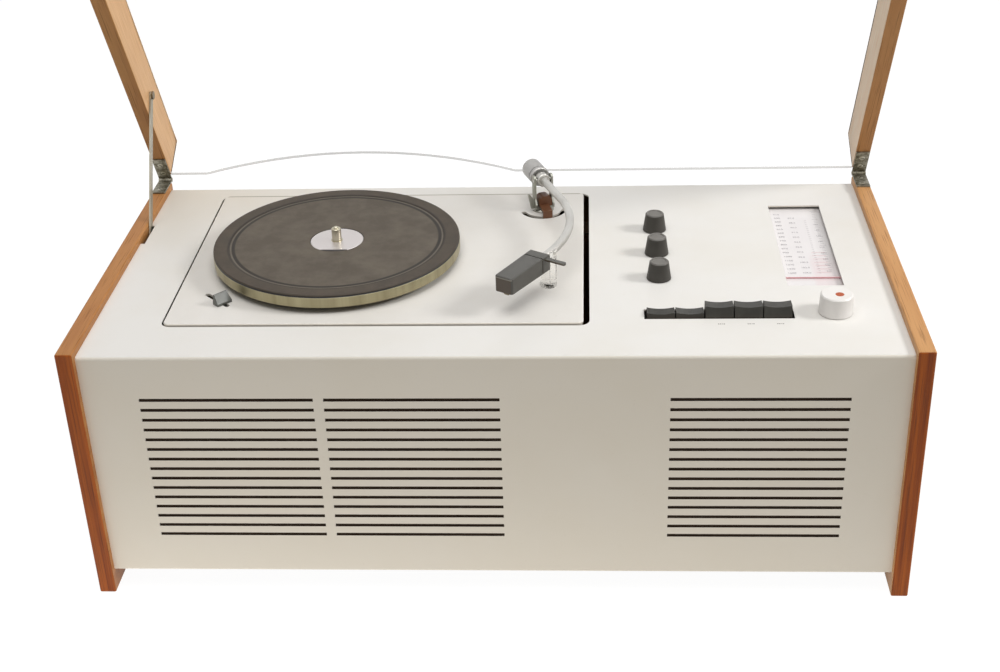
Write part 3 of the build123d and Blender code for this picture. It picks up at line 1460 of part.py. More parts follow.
window_rear = cheek_back - acrylic_inset
window_fore = cheek_front + acrylic_inset
window_foot = cheek_low - acrylic_drop
window_high = cheek_high - acrylic_below_cheek
with BuildPart() as lid_window:
    with BuildSketch(lid_side(-inner_x)):
        with BuildLine():
            FilletPolyline((window_rear, window_foot), (window_rear, window_high), (window_fore, window_high),
                           (window_fore, window_foot), radius=acrylic_bend)
            offset(amount=acrylic, side=Side.LEFT)
        make_face()
    extrude(amount=2 * inner_x)
    with BuildSketch(lid_back(window_rear + 1)):
        with BuildLine():
            ThreePointArc((platter_x - notch_width / 2, window_foot - 0.01),
                          (platter_x, window_foot + notch_height),
                          (platter_x + notch_width / 2, window_foot - 0.01))
            Line((platter_x + notch_width / 2, window_foot - 0.01), (platter_x - notch_width / 2, window_foot - 0.01))
        make_face()
    extrude(amount=acrylic + 2, mode=Mode.SUBTRACT)
finish(lid_window, "lid_window")

with BuildPart() as lid_stay:
    with BuildSketch(sideways(stay_left)):
        with Locations((pivot_y + stay_length / 2 * cos(radians(stay_heading)),
                        pivot_z + stay_length / 2 * sin(radians(stay_heading)))):
            SlotCenterToCenter(stay_length, stay_width, rotation=stay_heading)
        with Locations((pivot_y, pivot_z)):
            Circle(stay_pin_radius + running, mode=Mode.SUBTRACT)
    extrude(amount=stay_thickness)
finish(lid_stay, "lid_stay")

pin_length = leaf_width + 0.6
with BuildPart() as lid_pins:
    for side in (-1, 1):
        with BuildSketch(lid_side(side * hinge_middle - pin_length / 2)):
            Circle(hinge_pin_radius)
        extrude(amount=pin_length)
    with BuildSketch(lid_side(-inner_x - stay_pin_depth)):
        with Locations((-stay_pivot_back, stay_pivot_up)):
            Circle(stay_pin_radius)
    extrude(amount=stay_pin_depth + stay_gap + stay_thickness + 0.5)
    with BuildSketch(lid_side(stay_left + stay_thickness + 0.2)):
        with Locations((-stay_pivot_back, stay_pivot_up)):
            Circle(stay_pin_head)
    extrude(amount=1.2)
finish(lid_pins, "lid_pins")
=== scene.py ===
"""Looks of a table-top record player and radio: room, finishes and small trim, in assembly order."""

from math import cos, pi, radians, sin

import bmesh
import bpy
from mathutils import Matrix, Vector


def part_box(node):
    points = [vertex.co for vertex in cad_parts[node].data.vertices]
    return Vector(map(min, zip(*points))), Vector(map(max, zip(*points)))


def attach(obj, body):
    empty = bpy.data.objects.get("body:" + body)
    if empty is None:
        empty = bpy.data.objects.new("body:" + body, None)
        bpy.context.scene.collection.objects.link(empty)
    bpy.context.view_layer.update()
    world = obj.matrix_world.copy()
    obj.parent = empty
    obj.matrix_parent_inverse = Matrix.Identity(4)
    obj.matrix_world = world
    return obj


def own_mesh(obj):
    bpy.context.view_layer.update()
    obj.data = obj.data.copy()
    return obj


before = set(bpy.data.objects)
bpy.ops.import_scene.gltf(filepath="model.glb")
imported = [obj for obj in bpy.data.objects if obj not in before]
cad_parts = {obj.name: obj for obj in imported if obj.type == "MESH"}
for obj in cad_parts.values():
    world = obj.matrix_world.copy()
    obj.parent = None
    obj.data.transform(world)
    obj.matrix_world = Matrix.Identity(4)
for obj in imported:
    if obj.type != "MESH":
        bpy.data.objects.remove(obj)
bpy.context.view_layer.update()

# ---------------------------------------------------------------- room
# A pale table top that runs out to a white studio and glows just in front of the body, a painted
# fill light for its front; one large soft lamp overhead and a smaller one at the right, which draws
# the soft shadows of the knobs towards the left.


def paint(red, green, blue):
    """Linear colour of a finish given in the usual 0 to 255 steps."""
    steps = []
    for value in (red, green, blue):
        value = value / 255
        steps.append(value / 12.92 if value <= 0.04045 else ((value + 0.055) / 1.055) ** 2.4)
    return (*steps, 1.0)


class Value:
    """A node's output, usable in plain arithmetic; each operation adds one Math node."""

    def __init__(self, finish, socket):
        self.finish = finish
        self.socket = socket

    def maths(self, operation, *numbers):
        return self.finish.node("ShaderNodeMath", {"operation": operation}, dict(enumerate(numbers)))

    def __add__(self, other):
        return self.maths("ADD", self, other)

    def __sub__(self, other):
        return self.maths("SUBTRACT", self, other)

    def __mul__(self, other):
        return self.maths("MULTIPLY", self, other)

    def __truediv__(self, other):
        return self.maths("DIVIDE", self, other)

    def __radd__(self, other):
        return self.maths("ADD", other, self)

    def __rsub__(self, other):
        return self.maths("SUBTRACT", other, self)

    def __rmul__(self, other):
        return self.maths("MULTIPLY", other, self)

    def __gt__(self, other):
        return self.maths("GREATER_THAN", self, other)

    def __lt__(self, other):
        return self.maths("LESS_THAN", self, other)

    def __mod__(self, other):
        return self.maths("FLOORED_MODULO", self, other)

    def __abs__(self):
        return self.maths("ABSOLUTE", self)


class Finish:
    """A material and the one method that adds nodes to it."""

    def __init__(self, name, tree=None):
        if tree is None:
            self.material = bpy.data.materials.new(name)
            self.material.use_nodes = True
            tree = self.material.node_tree
        self.tree = tree
        self.tree.nodes.clear()

    def node(self, kind, settings=None, sockets=None, output=0):
        """Add a node: its settings first, then the values or links of its sockets."""
        node = self.tree.nodes.new(kind)
        for name, setting in (settings or {}).items():
            if name == "stops":
                ramp = node.color_ramp
                while len(ramp.elements) < len(setting):
                    ramp.elements.new(1.0)
                for element, (place, colour) in zip(ramp.elements, setting):
                    element.position = place
                    element.color = colour
            else:
                setattr(node, name, setting)
        for name, value in (sockets or {}).items():
            socket = node.inputs[name]
            if isinstance(value, Value):
                self.tree.links.new(value.socket, socket)
            else:
                socket.default_value = value
        return Value(self, node.outputs[output]) if node.outputs else None

    def place(self, stretch=(1, 1, 1), turn=(0, 0, 0), shift=(0, 0, 0)):
        """The point on the object, in metres, shifted, turned and stretched."""
        point = self.node("ShaderNodeTexCoord", output="Object")
        if shift != (0, 0, 0):
            point = self.node("ShaderNodeMapping", {}, {"Vector": point, "Location": shift})
        return self.node("ShaderNodeMapping", {}, {"Vector": point, "Rotation": turn, "Scale": stretch})

    def noise(self, point, scale=1.0, detail=2.0, roughness=0.5):
        return self.node("ShaderNodeTexNoise", {}, {"Vector": point, "Scale": scale, "Detail": detail,
                                                    "Roughness": roughness})

    def spread(self, value, low, high, to_low=0.0, to_high=1.0):
        """Spread a value's range between two others, cut off at both ends."""
        return self.node("ShaderNodeMapRange", {"clamp": True}, {
            "Value": value, "From Min": low, "From Max": high, "To Min": to_low, "To Max": to_high})

    def mix(self, share, first, second):
        """Blend two colours."""
        return self.node("ShaderNodeMix", {"data_type": "RGBA"}, {0: share, 6: first, 7: second},
                         output=2)

    def bump(self, height, strength, distance):
        return self.node("ShaderNodeBump", {}, {"Height": height, "Strength": strength,
                                                "Distance": distance})

    def part(self, point, axis):
        """One of a point's three numbers."""
        return self.node("ShaderNodeSeparateXYZ", {}, {0: point}, output=axis)

    def surface(self, **sockets):
        """Close the material with a principled shader; underscores stand for spaces."""
        shader = self.node("ShaderNodeBsdfPrincipled", {}, {
            name.replace("_", " "): value for name, value in sockets.items()})
        return self.close(shader)

    def close(self, shader):
        self.node("ShaderNodeOutputMaterial", {}, {"Surface": shader})
        return self.material


def dress(names, material):
    """Give a material to CAD nodes."""
    for name in names:
        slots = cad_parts[name].data.materials
        slots.clear()
        slots.append(material)


def piece_from(bm, name, material, body):
    """Turn a bmesh into a finished piece that rides on a body."""
    mesh = bpy.data.meshes.new(name)
    bm.to_mesh(mesh)
    bm.free()
    mesh.materials.append(material)
    piece = bpy.data.objects.new(name, mesh)
    bpy.context.scene.collection.objects.link(piece)
    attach(piece, body)
    return piece


seen = ("Is Camera Ray", "Is Glossy Ray", "Is Transmission Ray")


def is_seen(finish):
    """1 where a ray shows the surface directly, in a mirror or through glass, and lights nothing."""
    rays = [finish.node("ShaderNodeLightPath", output=name) for name in seen]
    return finish.spread(rays[0] + rays[1] + rays[2], 0.0, 1.0) * (
        finish.node("ShaderNodeLightPath", output="Diffuse Depth") < 0.5)


bm = bmesh.new()
bmesh.ops.create_grid(bm, x_segments=8, y_segments=8, size=9.0)
mesh = bpy.data.meshes.new("table_top")
bm.to_mesh(mesh)
bm.free()
table = bpy.data.objects.new("table_top", mesh)
bpy.context.scene.collection.objects.link(table)
white = Finish("table_white")
away = white.part(white.place(), "Y")
# painted light: for the rays that light the object, the table glows in a band just in front of the body,
# stronger at the left
front_glow = white.spread(away, -0.55, -0.17) * (1 - white.spread(away, -0.15, -0.13))
front_glow = front_glow * white.spread(white.part(white.place(), "X"), -0.35, 0.4, 0.8, 0.32)
lit = white.node("ShaderNodeAddShader", {}, {
    0: white.node("ShaderNodeBsdfDiffuse", {}, {"Color": (0.52, 0.50, 0.46, 1)}),
    1: white.node("ShaderNodeEmission", {}, {"Color": (1.0, 0.96, 0.89, 1), "Strength": front_glow * 1.35})})
faint = white.node("ShaderNodeBsdfDiffuse", {}, {"Color": (0.13, 0.13, 0.13, 1)})
glow = white.node("ShaderNodeEmission", {}, {"Color": (1, 1, 1, 1), "Strength": 0.955})
shown = white.node("ShaderNodeAddShader", {}, {0: faint, 1: glow})
mesh.materials.append(white.close(white.node("ShaderNodeMixShader", {}, {
    0: is_seen(white), 1: lit, 2: shown})))

studio = bpy.data.worlds.new("studio")
studio.use_nodes = True
bpy.context.scene.world = studio
air = Finish("studio", studio.node_tree)
soft = air.node("ShaderNodeBackground", {}, {"Color": (1.0, 0.985, 0.96, 1), "Strength": 0.21})
bright = air.node("ShaderNodeBackground", {}, {"Color": (1, 1, 1, 1), "Strength": 1.0})
air.node("ShaderNodeOutputWorld", {}, {
    "Surface": air.node("ShaderNodeMixShader", {}, {0: is_seen(air), 1: soft, 2: bright})})


def lamp(name, place, target, width, height, power, colour):
    """A square soft lamp that faces a point."""
    light = bpy.data.lights.new(name, "AREA")
    light.shape = "RECTANGLE"
    light.size, light.size_y = width, height
    light.energy = power
    light.color = colour
    holder = bpy.data.objects.new(name, light)
    holder.location = place
    holder.rotation_euler = (Vector(target) - Vector(place)).to_track_quat("-Z", "Y").to_euler()
    bpy.context.scene.collection.objects.link(holder)


lamp("overhead", (0.0, -0.35, 2.2), (0, 0, 0.1), 1.8, 1.8, 25.6, (1.0, 0.995, 0.985))
lamp("right_hand", (1.6, -0.15, 1.25), (0, 0, 0.2), 0.45, 0.45, 16.0, (1.0, 0.995, 0.985))

view = bpy.data.cameras.new("view")
view.lens = 55.413
view.sensor_width = 36.0
eye = bpy.data.objects.new("view", view)
turn = Matrix(((0.99835, 0.00399, 0.05733), (0.04816, 0.48616, -0.87255),
               (-0.03135, 0.87387, 0.48516)))
eye.matrix_world = Matrix.Translation((0.06594, -1.04080, 0.70234)) @ turn.to_4x4()
bpy.context.scene.collection.objects.link(eye)
bpy.context.scene.camera = eye
bpy.context.scene.view_settings.view_transform = "Standard"

# ---------------------------------------------------------------- wooden sides and lid cheeks
# Chipboard panels under a warm brown veneer, oiled to a dull sheen. The long grain runs from
# front to back; the narrow front and rear edges are banded with upright strips.
lid_turn = radians(60.8)


def veneer(name, slope, streak, banding, inside=None):
    wood = Finish(name)
    point = wood.place(turn=(slope, 0, 0))
    facing = wood.node("ShaderNodeVectorMath", {"operation": "DOT_PRODUCT"}, {
        0: wood.node("ShaderNodeTexCoord", output="Normal"),
        1: (0, cos(slope), -sin(slope))}, output="Value")
    banded = abs(facing) > 0.6
    stretched = wood.node("ShaderNodeMapping", {}, {"Vector": point, "Scale": (34, 2.2, 34)})
    upright = wood.node("ShaderNodeMapping", {}, {"Vector": point, "Scale": (240, 60, 7)})
    figure = wood.noise(stretched, 1.0, 5.0, 0.62)
    band_figure = wood.noise(upright, 1.0, 4.0, 0.6)
    fine = wood.noise(wood.node("ShaderNodeMapping", {}, {
        "Vector": point, "Scale": (1500, 26, 1500)}), 1.0, 2.0)
    fine_band = wood.noise(wood.node("ShaderNodeMapping", {}, {
        "Vector": point, "Scale": (1500, 400, 30)}), 1.0, 2.0)
    cloud = wood.noise(point, 9.0, 3.0)
    grain = wood.spread(figure, 0.36, 0.66)
    pores = wood.spread(fine, 0.56, 0.72)
    face = wood.mix(grain, streak[0], streak[1])
    face = wood.mix(wood.spread(cloud, 0.35, 0.7) * 0.35, face, streak[2])
    face = wood.mix(pores * 0.55, face, paint(86, 48, 26))
    edge = wood.mix(wood.spread(band_figure, 0.35, 0.68), banding[0], banding[1])
    edge = wood.mix(wood.spread(fine_band, 0.52, 0.75) * 0.6, edge, paint(70, 34, 17))
    colour = wood.mix(banded, face, edge)
    if inside:
        # the lid's inner faces are painted lighter: partly paler, less faded wood, partly painted light,
        # strongest on the right cheek, which the right lamp doesn't reach
        sideways = wood.part(wood.node("ShaderNodeTexCoord", output="Normal"), "X")
        inward = (wood.part(point, "X") * sideways < 0.0) * (abs(sideways) > 0.7)
        lines = wood.spread(fine, 0.4, 0.6) * 0.6 + grain * 0.4
        colour = wood.mix(inward, colour, wood.mix(lines, *inside))
    rough = 0.42 + pores * 0.2 + wood.spread(cloud, 0.3, 0.7) * 0.08
    return wood.surface(Base_Color=colour, Roughness=rough, Specular_IOR_Level=0.28,
                        Normal=wood.bump(grain * 0.4 - pores, 0.25, 0.0003))


dress(["side_panel_left"], veneer(
    "veneer_left", 0.0, (paint(190, 131, 72), paint(160, 98, 46), paint(198, 142, 86)),
    (paint(176, 90, 21), paint(136, 60, 10))))
dress(["side_panel_right"], veneer(
    "veneer_right", 0.0, (paint(206, 153, 98), paint(184, 126, 72), paint(214, 164, 112)),
    (paint(176, 90, 21), paint(136, 60, 10))))
dress(["lid_cheek_left"], veneer(
    "veneer_lid_left", lid_turn, (paint(200, 146, 88), paint(174, 118, 64), paint(208, 158, 102)),
    (paint(194, 124, 60), paint(170, 100, 44)), (paint(252, 204, 150), paint(228, 176, 124))))
dress(["lid_cheek_right"], veneer(
    "veneer_lid_right", lid_turn, (paint(204, 150, 94), paint(180, 124, 72), paint(210, 160, 106)),
    (paint(206, 140, 80), paint(182, 114, 58)), (paint(255, 236, 210), paint(250, 214, 178))))

# ---------------------------------------------------------------- steel body
# One folded sheet of steel, stove-enamelled in warm white. Years of hands and sun leave a faint
# mottling on the top and a soft gloss. Painted shade darkens the upright edges round the deck, and
# painted warm light tints the forward faces.


def yellowish_rear_left(coat, across, depth):
    """The rear left of the top is painted a darker yellowish tone."""
    return coat.spread(across, -0.10, -0.27) * coat.spread(depth, 0.0, 0.11) * 0.5


def enamel(name, colour, stain, gloss, clean_above, rear_edge=None):
    coat = Finish(name)
    point = coat.place()
    mottle = coat.noise(point, 14.0, 4.0, 0.55)
    specks = coat.noise(point, 420.0, 2.0, 0.5)
    cloudy = coat.spread(mottle, 0.38, 0.7)
    shade = coat.mix(cloudy * 0.55, colour, stain)
    shade = coat.mix(coat.spread(specks, 0.70, 0.78) * 0.12, shade, paint(186, 176, 160))
    # painted shade: the upright edges below the top surfaces, left of x = 80 mm and not facing forward,
    # are painted dark brown as the shade in the gaps round the deck
    upright = abs(coat.part(coat.node("ShaderNodeTexCoord", output="Normal"), "Z")) < 0.7
    height, depth = coat.part(point, "Z"), coat.part(point, "Y")
    across = coat.part(point, "X")
    shaded_edges = upright * (1 - coat.spread(height, clean_above - 0.0006, clean_above)) * (depth > front_face)
    ahead = coat.part(coat.node("ShaderNodeTexCoord", output="Normal"), "Y") < -0.5
    shade = coat.mix(shaded_edges * (across < 0.08) * (1 - ahead), shade, paint(78, 64, 42))
    shade = coat.mix(yellowish_rear_left(coat, across, depth), shade, paint(222, 211, 190))
    if rear_edge:
        # painted shade: a darker line just inside the deck's rear edge stands in for the shaded gap
        # behind it
        rear_gap_shade = coat.spread(depth, rear_edge - 0.0024, rear_edge - 0.0014) * 0.9
        shade = coat.mix(rear_gap_shade, shade, paint(140, 130, 108))
    # the cut edges of the slots and the shelves inside get no light
    cut = (1 - upright) * (height < clean_above - 0.02) * (depth < front_face)
    unlit = (height > 0.10) * (height < clean_above - 0.015) * (
        depth > front_face + 0.01) * (depth < 0.115)
    # painted light: the forward faces are tinted warmer, as warm light from the table falls on them
    shade = coat.mix(ahead * 0.4, shade, paint(240, 228, 206))
    shade = coat.mix(coat.spread(cut + unlit, 0.0, 1.0), shade, paint(64, 48, 34))
    orange_peel = coat.noise(point, 900.0, 2.0, 0.4)
    return coat.surface(Base_Color=shade, Roughness=gloss + cloudy * 0.08, Specular_IOR_Level=0.2,
                        Normal=coat.bump(orange_peel, 0.05, 0.0002))


front_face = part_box("body_shell")[0][1] + 0.012
body_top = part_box("body_shell")[1][2]
dress(["body_shell"], enamel("body_enamel", paint(241, 239, 235), paint(236, 232, 224), 0.38,
                             body_top - 0.0004))

# ---------------------------------------------------------------- bottom and back
# Thin brown hardboard: smooth and slightly shiny outside, with pressed fibres that show as
# short darker flecks, and paler patches.


def bar(bm, middle, size):
    """A small block, square to the frame."""
    bmesh.ops.create_cube(bm, size=1.0,
                          matrix=Matrix.Translation(middle) @ Matrix.Diagonal((*size, 1.0)))


def hardboard(name, colour, fleck):
    pressed = Finish(name)
    point = pressed.place()
    fibre = pressed.noise(pressed.place(stretch=(900, 260, 900)), 1.0, 3.0, 0.6)
    patch = pressed.noise(point, 22.0, 3.0)
    shade = pressed.mix(pressed.spread(fibre, 0.5, 0.7) * 0.6, colour, fleck)
    shade = pressed.mix(pressed.spread(patch, 0.35, 0.7) * 0.3, shade, paint(140, 100, 66))
    return pressed.surface(Base_Color=shade, Roughness=0.55 + fibre * 0.2,
                           Normal=pressed.bump(fibre, 0.2, 0.0003))


board_finish = hardboard("hardboard", paint(124, 84, 52), paint(78, 50, 30))
dress(["base_plate", "rear_cover", "baffle_board"], board_finish)


def plastic(name, colour, second, gloss, grain=1400.0, depth=0.1):
    """Moulded plastic with a fine skin."""
    moulded = Finish(name)
    point = moulded.place()
    skin = moulded.noise(point, grain, 2.0)
    cloud = moulded.noise(point, 60.0, 3.0)
    shade = moulded.mix(moulded.spread(cloud, 0.35, 0.7) * 0.7, colour, second)
    return moulded.surface(Base_Color=shade, Roughness=gloss + moulded.spread(cloud, 0.3, 0.7) * 0.1,
                           Normal=moulded.bump(skin, depth, 0.0002))


def metal(name, colour, second, gloss, stretch=(900, 900, 900), depth=0.08):
    """Bare or plated metal with fine marks along one direction."""
    bare = Finish(name)
    marks = bare.noise(bare.place(stretch=stretch), 1.0, 3.0, 0.6)
    cloud = bare.noise(bare.place(), 45.0, 3.0)
    shade = bare.mix(bare.spread(cloud, 0.3, 0.72), colour, second)
    return bare.surface(Base_Color=shade, Metallic=1.0,
                        Roughness=gloss + marks * 0.12 + bare.spread(cloud, 0.4, 0.7) * 0.1,
                        Normal=bare.bump(marks, depth, 0.0002))


dress(["rear_sockets"], plastic("socket_bakelite", paint(30, 28, 27), paint(42, 38, 35), 0.3))
dress(["case_screws"], metal("screw_zinc", paint(176, 174, 166), paint(142, 138, 126), 0.35))
screws_low, screws_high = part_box("case_screws")
slot_length, slot_width, slot_skin = 0.0044, 0.0009, 0.0001
# painted shade: the slots of the screw heads are thin dark bars laid on the heads
bm = bmesh.new()
for x in (-0.24, -0.08, 0.08, 0.24):
    bar(bm, (x, screws_high.y, body_top - 0.008), (slot_length, slot_skin, slot_width))
for x in (-0.2, -0.07, 0.07, 0.2):
    bar(bm, (x, front_face + 0.005, screws_low.z), (slot_width, slot_length, slot_skin))
piece_from(bm, "case_screw_slots",
           plastic("slot_shade", paint(30, 28, 25), paint(46, 43, 38), 0.7), "case")

# ---------------------------------------------------------------- loudspeakers behind the grille
# A dark cloth is stretched behind the slots. Two oval speakers hang on the board behind it:
# pressed, grey-hammered baskets, a magnet pot and black pulp cones.


def waves(finish, value, pitch):
    """Even ridges, from 0 to 1, along one direction."""
    wave = finish.node("ShaderNodeMath", {"operation": "SINE"}, {0: value * (2 * pi / pitch)})
    return wave * 0.5 + 0.5


cloth = Finish("grille_cloth")
point = cloth.place()
thread_pitch = 0.0011
weave = waves(cloth, cloth.part(point, "X"), thread_pitch) * waves(
    cloth, cloth.part(point, "Z"), thread_pitch)
slub = cloth.noise(cloth.place(stretch=(60, 60, 900)), 1.0, 3.0)
thread = cloth.mix(weave, paint(56, 40, 26), paint(96, 72, 50))
dress(["grille_cloth"], cloth.surface(
    Base_Color=cloth.mix(cloth.spread(slub, 0.4, 0.7) * 0.4, thread, paint(44, 36, 28)),
    Roughness=0.85 + slub * 0.1, Sheen_Weight=0.2, Normal=cloth.bump(weave, 0.5, 0.0003)))

hammer = Finish("basket_hammered")
point = hammer.place()
cells = hammer.node("ShaderNodeTexVoronoi", {"feature": "SMOOTH_F1"}, {"Vector": point, "Scale": 260.0})
dress(["speaker_frames"], hammer.surface(
    Base_Color=hammer.mix(hammer.spread(cells, 0.1, 0.5), paint(112, 116, 118), paint(86, 90, 92)),
    Metallic=0.6, Roughness=0.38 + cells * 0.2, Normal=hammer.bump(cells, 0.35, 0.0004)))

pulp = Finish("cone_paper")
point = pulp.place()
fibres = pulp.noise(point, 620.0, 4.0, 0.65)
dress(["speaker_cones"], pulp.surface(
    Base_Color=pulp.mix(pulp.spread(fibres, 0.4, 0.65), paint(34, 31, 29), paint(54, 49, 45)),
    Roughness=0.85 + fibres * 0.1, Normal=pulp.bump(fibres, 0.4, 0.0003)))

# ---------------------------------------------------------------- radio chassis and what stands on it
# A cadmium-plated steel tray with the mains and output transformers, six valves with frosted
# getter tops, and the tuning capacitor with its aluminium vanes and nylon cord drum.
dress(["radio_chassis"], metal("chassis_plate", paint(176, 172, 156), paint(146, 140, 120), 0.4))

core = Finish("transformer_core")
point = core.place()
lamination = 0.0007
sheets = waves(core, core.part(point, "Y"), lamination)
wax = core.noise(point, 70.0, 3.0)
dress(["mains_transformer", "output_transformers"], core.surface(
    Base_Color=core.mix(core.spread(wax, 0.4, 0.65),
                        core.mix(sheets, paint(66, 62, 58), paint(88, 84, 78)), paint(122, 84, 44)),
    Metallic=0.35, Roughness=0.5 + wax * 0.15, Normal=core.bump(sheets, 0.25, 0.0002)))

bulb = Finish("valve_glass")
height = bulb.part(bulb.place(), "Z")
getter = bulb.spread(height, 0.126, 0.134)
base = 1 - bulb.spread(height, 0.0915, 0.0925)
haze = bulb.noise(bulb.place(), 160.0, 3.0)
glass_tint = bulb.mix(getter, paint(96, 100, 100), paint(52, 52, 56))
dress(["radio_valves"], bulb.surface(
    Base_Color=bulb.mix(base, glass_tint, paint(34, 30, 28)),
    Roughness=0.08 + base * 0.4 + bulb.spread(haze, 0.5, 0.7) * 0.12, Metallic=getter * 0.6,
    Specular_IOR_Level=0.6))

dress(["tuning_capacitor", "tuning_rotor"],
      metal("vane_aluminium", paint(196, 198, 198), paint(168, 170, 170), 0.3, (300, 1800, 300)))
dress(["cord_drum"], plastic("drum_nylon", paint(206, 200, 184), paint(190, 182, 162), 0.4))
dress(["control_pots"], metal("pot_cans", paint(168, 168, 164), paint(140, 138, 130), 0.35))
dress(["key_frame", "dial_frame"],
      metal("frame_plate", paint(170, 168, 158), paint(138, 134, 120), 0.42))

# ---------------------------------------------------------------- dial
# A glass strip printed white from behind, under the window: columns of grey frequency figures,
# ticks along the right, a rosy short-wave field low down, and the red hair-line pointer.
dial = Finish("dial_print")
point = dial.place()
x, y = dial.part(point, "X"), dial.part(point, "Y")
mottle = dial.noise(point, 60.0, 2.0)
rosy = dial.spread(x, 0.228, 0.231) * (1 - dial.spread(y, -0.015, 0.005)) * 0.45
# painted shade: the right side and the rear edge of the scale, under the window's walls, are painted
# greyer
shaded = dial.spread(x, 0.236, 0.2478)
rear = dial.spread(y, 0.076, 0.0865)
sheet = dial.mix(dial.spread(mottle, 0.35, 0.7) * 0.4, paint(242, 238, 238), paint(236, 232, 233))
sheet = dial.mix(rosy, sheet, paint(236, 214, 216))
sheet = dial.mix(shaded * 0.5, sheet, paint(196, 192, 190))
sheet = dial.mix(rear * 0.5, sheet, paint(206, 202, 196))
dress(["dial_scale"], dial.surface(Base_Color=sheet, Roughness=0.14 + mottle * 0.05, Coat_Weight=0.3,
                                   Specular_IOR_Level=0.35))


def figures(bm, text, place, height, pitch):
    """Printed figures in rows, laid flat, with their upper left corner at a place."""
    curve = bpy.data.curves.new("figures", "FONT")
    curve.body = text
    curve.size = height
    curve.space_line = pitch / height
    holder = bpy.data.objects.new("figures", curve)
    bpy.context.scene.collection.objects.link(holder)
    printed = bpy.data.meshes.new_from_object(
        holder.evaluated_get(bpy.context.evaluated_depsgraph_get()))
    printed.transform(Matrix.Translation(place))
    bm.from_mesh(printed)
    bpy.data.objects.remove(holder)
    bpy.data.curves.remove(curve)
    bpy.data.meshes.remove(printed)


scale_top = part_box("dial_scale")[1][2] + 0.00006
ink = plastic("dial_ink", paint(150, 146, 150), paint(166, 162, 164), 0.5)
pink_ink = plastic("dial_pink_ink", paint(220, 168, 172), paint(226, 178, 180), 0.5)
bm = bmesh.new()
figures(bm, "510\n530\n550\n580\n610\n650\n690\n740\n800\n870\n950\n1040\n1150\n1270\n1420\n1600",
        (0.2112, 0.071, scale_top), 0.0031, 0.0068)
figures(bm, "87,0\n88,5\n90,0\n91,5\n93,0\n94,5\n96,0\n97,5\n99,0\n100,5\n102,0\n104,0",
        (0.2218, 0.064, scale_top), 0.0029, 0.0086)
figures(bm, "150\n160\n175\n190\n210\n230\n260\n300\n340", (0.2395, 0.052, scale_top), 0.0026, 0.0100)
tick, print_depth = 0.0003, 0.00002
for line in range(34):
    length = 0.0045 if line % 5 == 0 else 0.0026
    bar(bm, (0.2425, 0.078 - 0.0031 * line, scale_top), (length, tick, print_depth))
for line in range(26):
    bar(bm, (0.2345, 0.060 - 0.0036 * line, scale_top), (0.0016, tick, print_depth))
piece_from(bm, "dial_figures", ink, "case")
bm = bmesh.new()
for line in range(7):
    bar(bm, (0.2375, 0.004 - 0.0055 * line, scale_top), (0.0100, tick, print_depth))
piece_from(bm, "dial_band", pink_ink, "case")
dress(["dial_pointer"], plastic("pointer_red", paint(238, 182, 186), paint(232, 172, 177), 0.35))

# ---------------------------------------------------------------- knobs and keys
# Turned and moulded in a matt dark grey plastic, with painted light on the crowns; the tuning
# knob is white with a small orange-brown dot set into its top.


def lit_crown_plastic(name, side, crown, gloss, low=None):
    """Dark plastic with its upward faces painted lighter, as painted light from above; given low, the
    sides below those heights are painted a lighter brown.
    """
    moulded = Finish(name)
    point = moulded.place()
    up = moulded.spread(moulded.part(moulded.node("ShaderNodeTexCoord", output="Normal"), "Z"), 0.3, 0.9)
    skin = moulded.noise(point, 1500.0, 2.0)
    cloud = moulded.noise(point, 90.0, 3.0)
    shade = moulded.mix(up, side, crown)
    if low:
        shade = moulded.mix((1 - moulded.spread(moulded.part(point, "Z"), *low)) * (1 - up) * 0.5, shade,
                            paint(60, 50, 40))
    shade = moulded.mix(moulded.spread(cloud, 0.4, 0.72) * 0.25, shade, paint(84, 82, 76))
    return moulded.surface(Base_Color=shade, Roughness=gloss + cloud * 0.12, Specular_IOR_Level=0.4,
                           Normal=moulded.bump(skin, 0.1, 0.0002))


dress(["volume_knob", "bass_knob", "treble_knob"],
      lit_crown_plastic("knob_grey", paint(60, 57, 52), paint(116, 113, 108), 0.42))
dress([f"key_{number}" for number in range(1, 6)],
      lit_crown_plastic("key_grey", paint(38, 36, 30), paint(44, 42, 37), 0.42, (body_top, body_top + 0.003)))
bm = bmesh.new()
for x in (0.1570, 0.1770, 0.1970):
    for step, width in ((-0.0022, 0.0009), (-0.0009, 0.0010), (0.0004, 0.0006), (0.0016, 0.0010)):
        bar(bm, (x + step, front_face + 0.0319, body_top), (width, 0.0010, 0.00008))
piece_from(bm, "key_marks", plastic("mark_ink", paint(140, 136, 130), paint(156, 152, 146), 0.5), "case")
dot = Finish("knob_white")
knob_low, knob_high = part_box("tuning_knob")
dot_radius, dot_depth = 0.003, 0.0012
point = dot.node("ShaderNodeMapping", {}, {
    "Vector": dot.node("ShaderNodeTexCoord", output="Object"),
    "Location": (-(knob_low.x + knob_high.x) / 2 - 0.0017,
                 -(knob_low.y + knob_high.y) / 2 + 0.0014, -knob_high.z)})
x, y = dot.part(point, "X"), dot.part(point, "Y")
inlay = (x * x + y * y < dot_radius ** 2) * (dot.part(point, "Z") > -dot_depth)
cloud = dot.noise(point, 70.0, 3.0)
ivory = dot.mix(dot.spread(cloud, 0.35, 0.7) * 0.5, paint(246, 243, 240), paint(240, 237, 232))
dress(["tuning_knob"], dot.surface(Base_Color=dot.mix(inlay, ivory, paint(184, 86, 44)),
                                   Roughness=0.3 + cloud * 0.1, Specular_IOR_Level=0.45))
dress(["tuning_shaft"], metal("shaft_steel", paint(186, 184, 178), paint(160, 157, 150), 0.28))

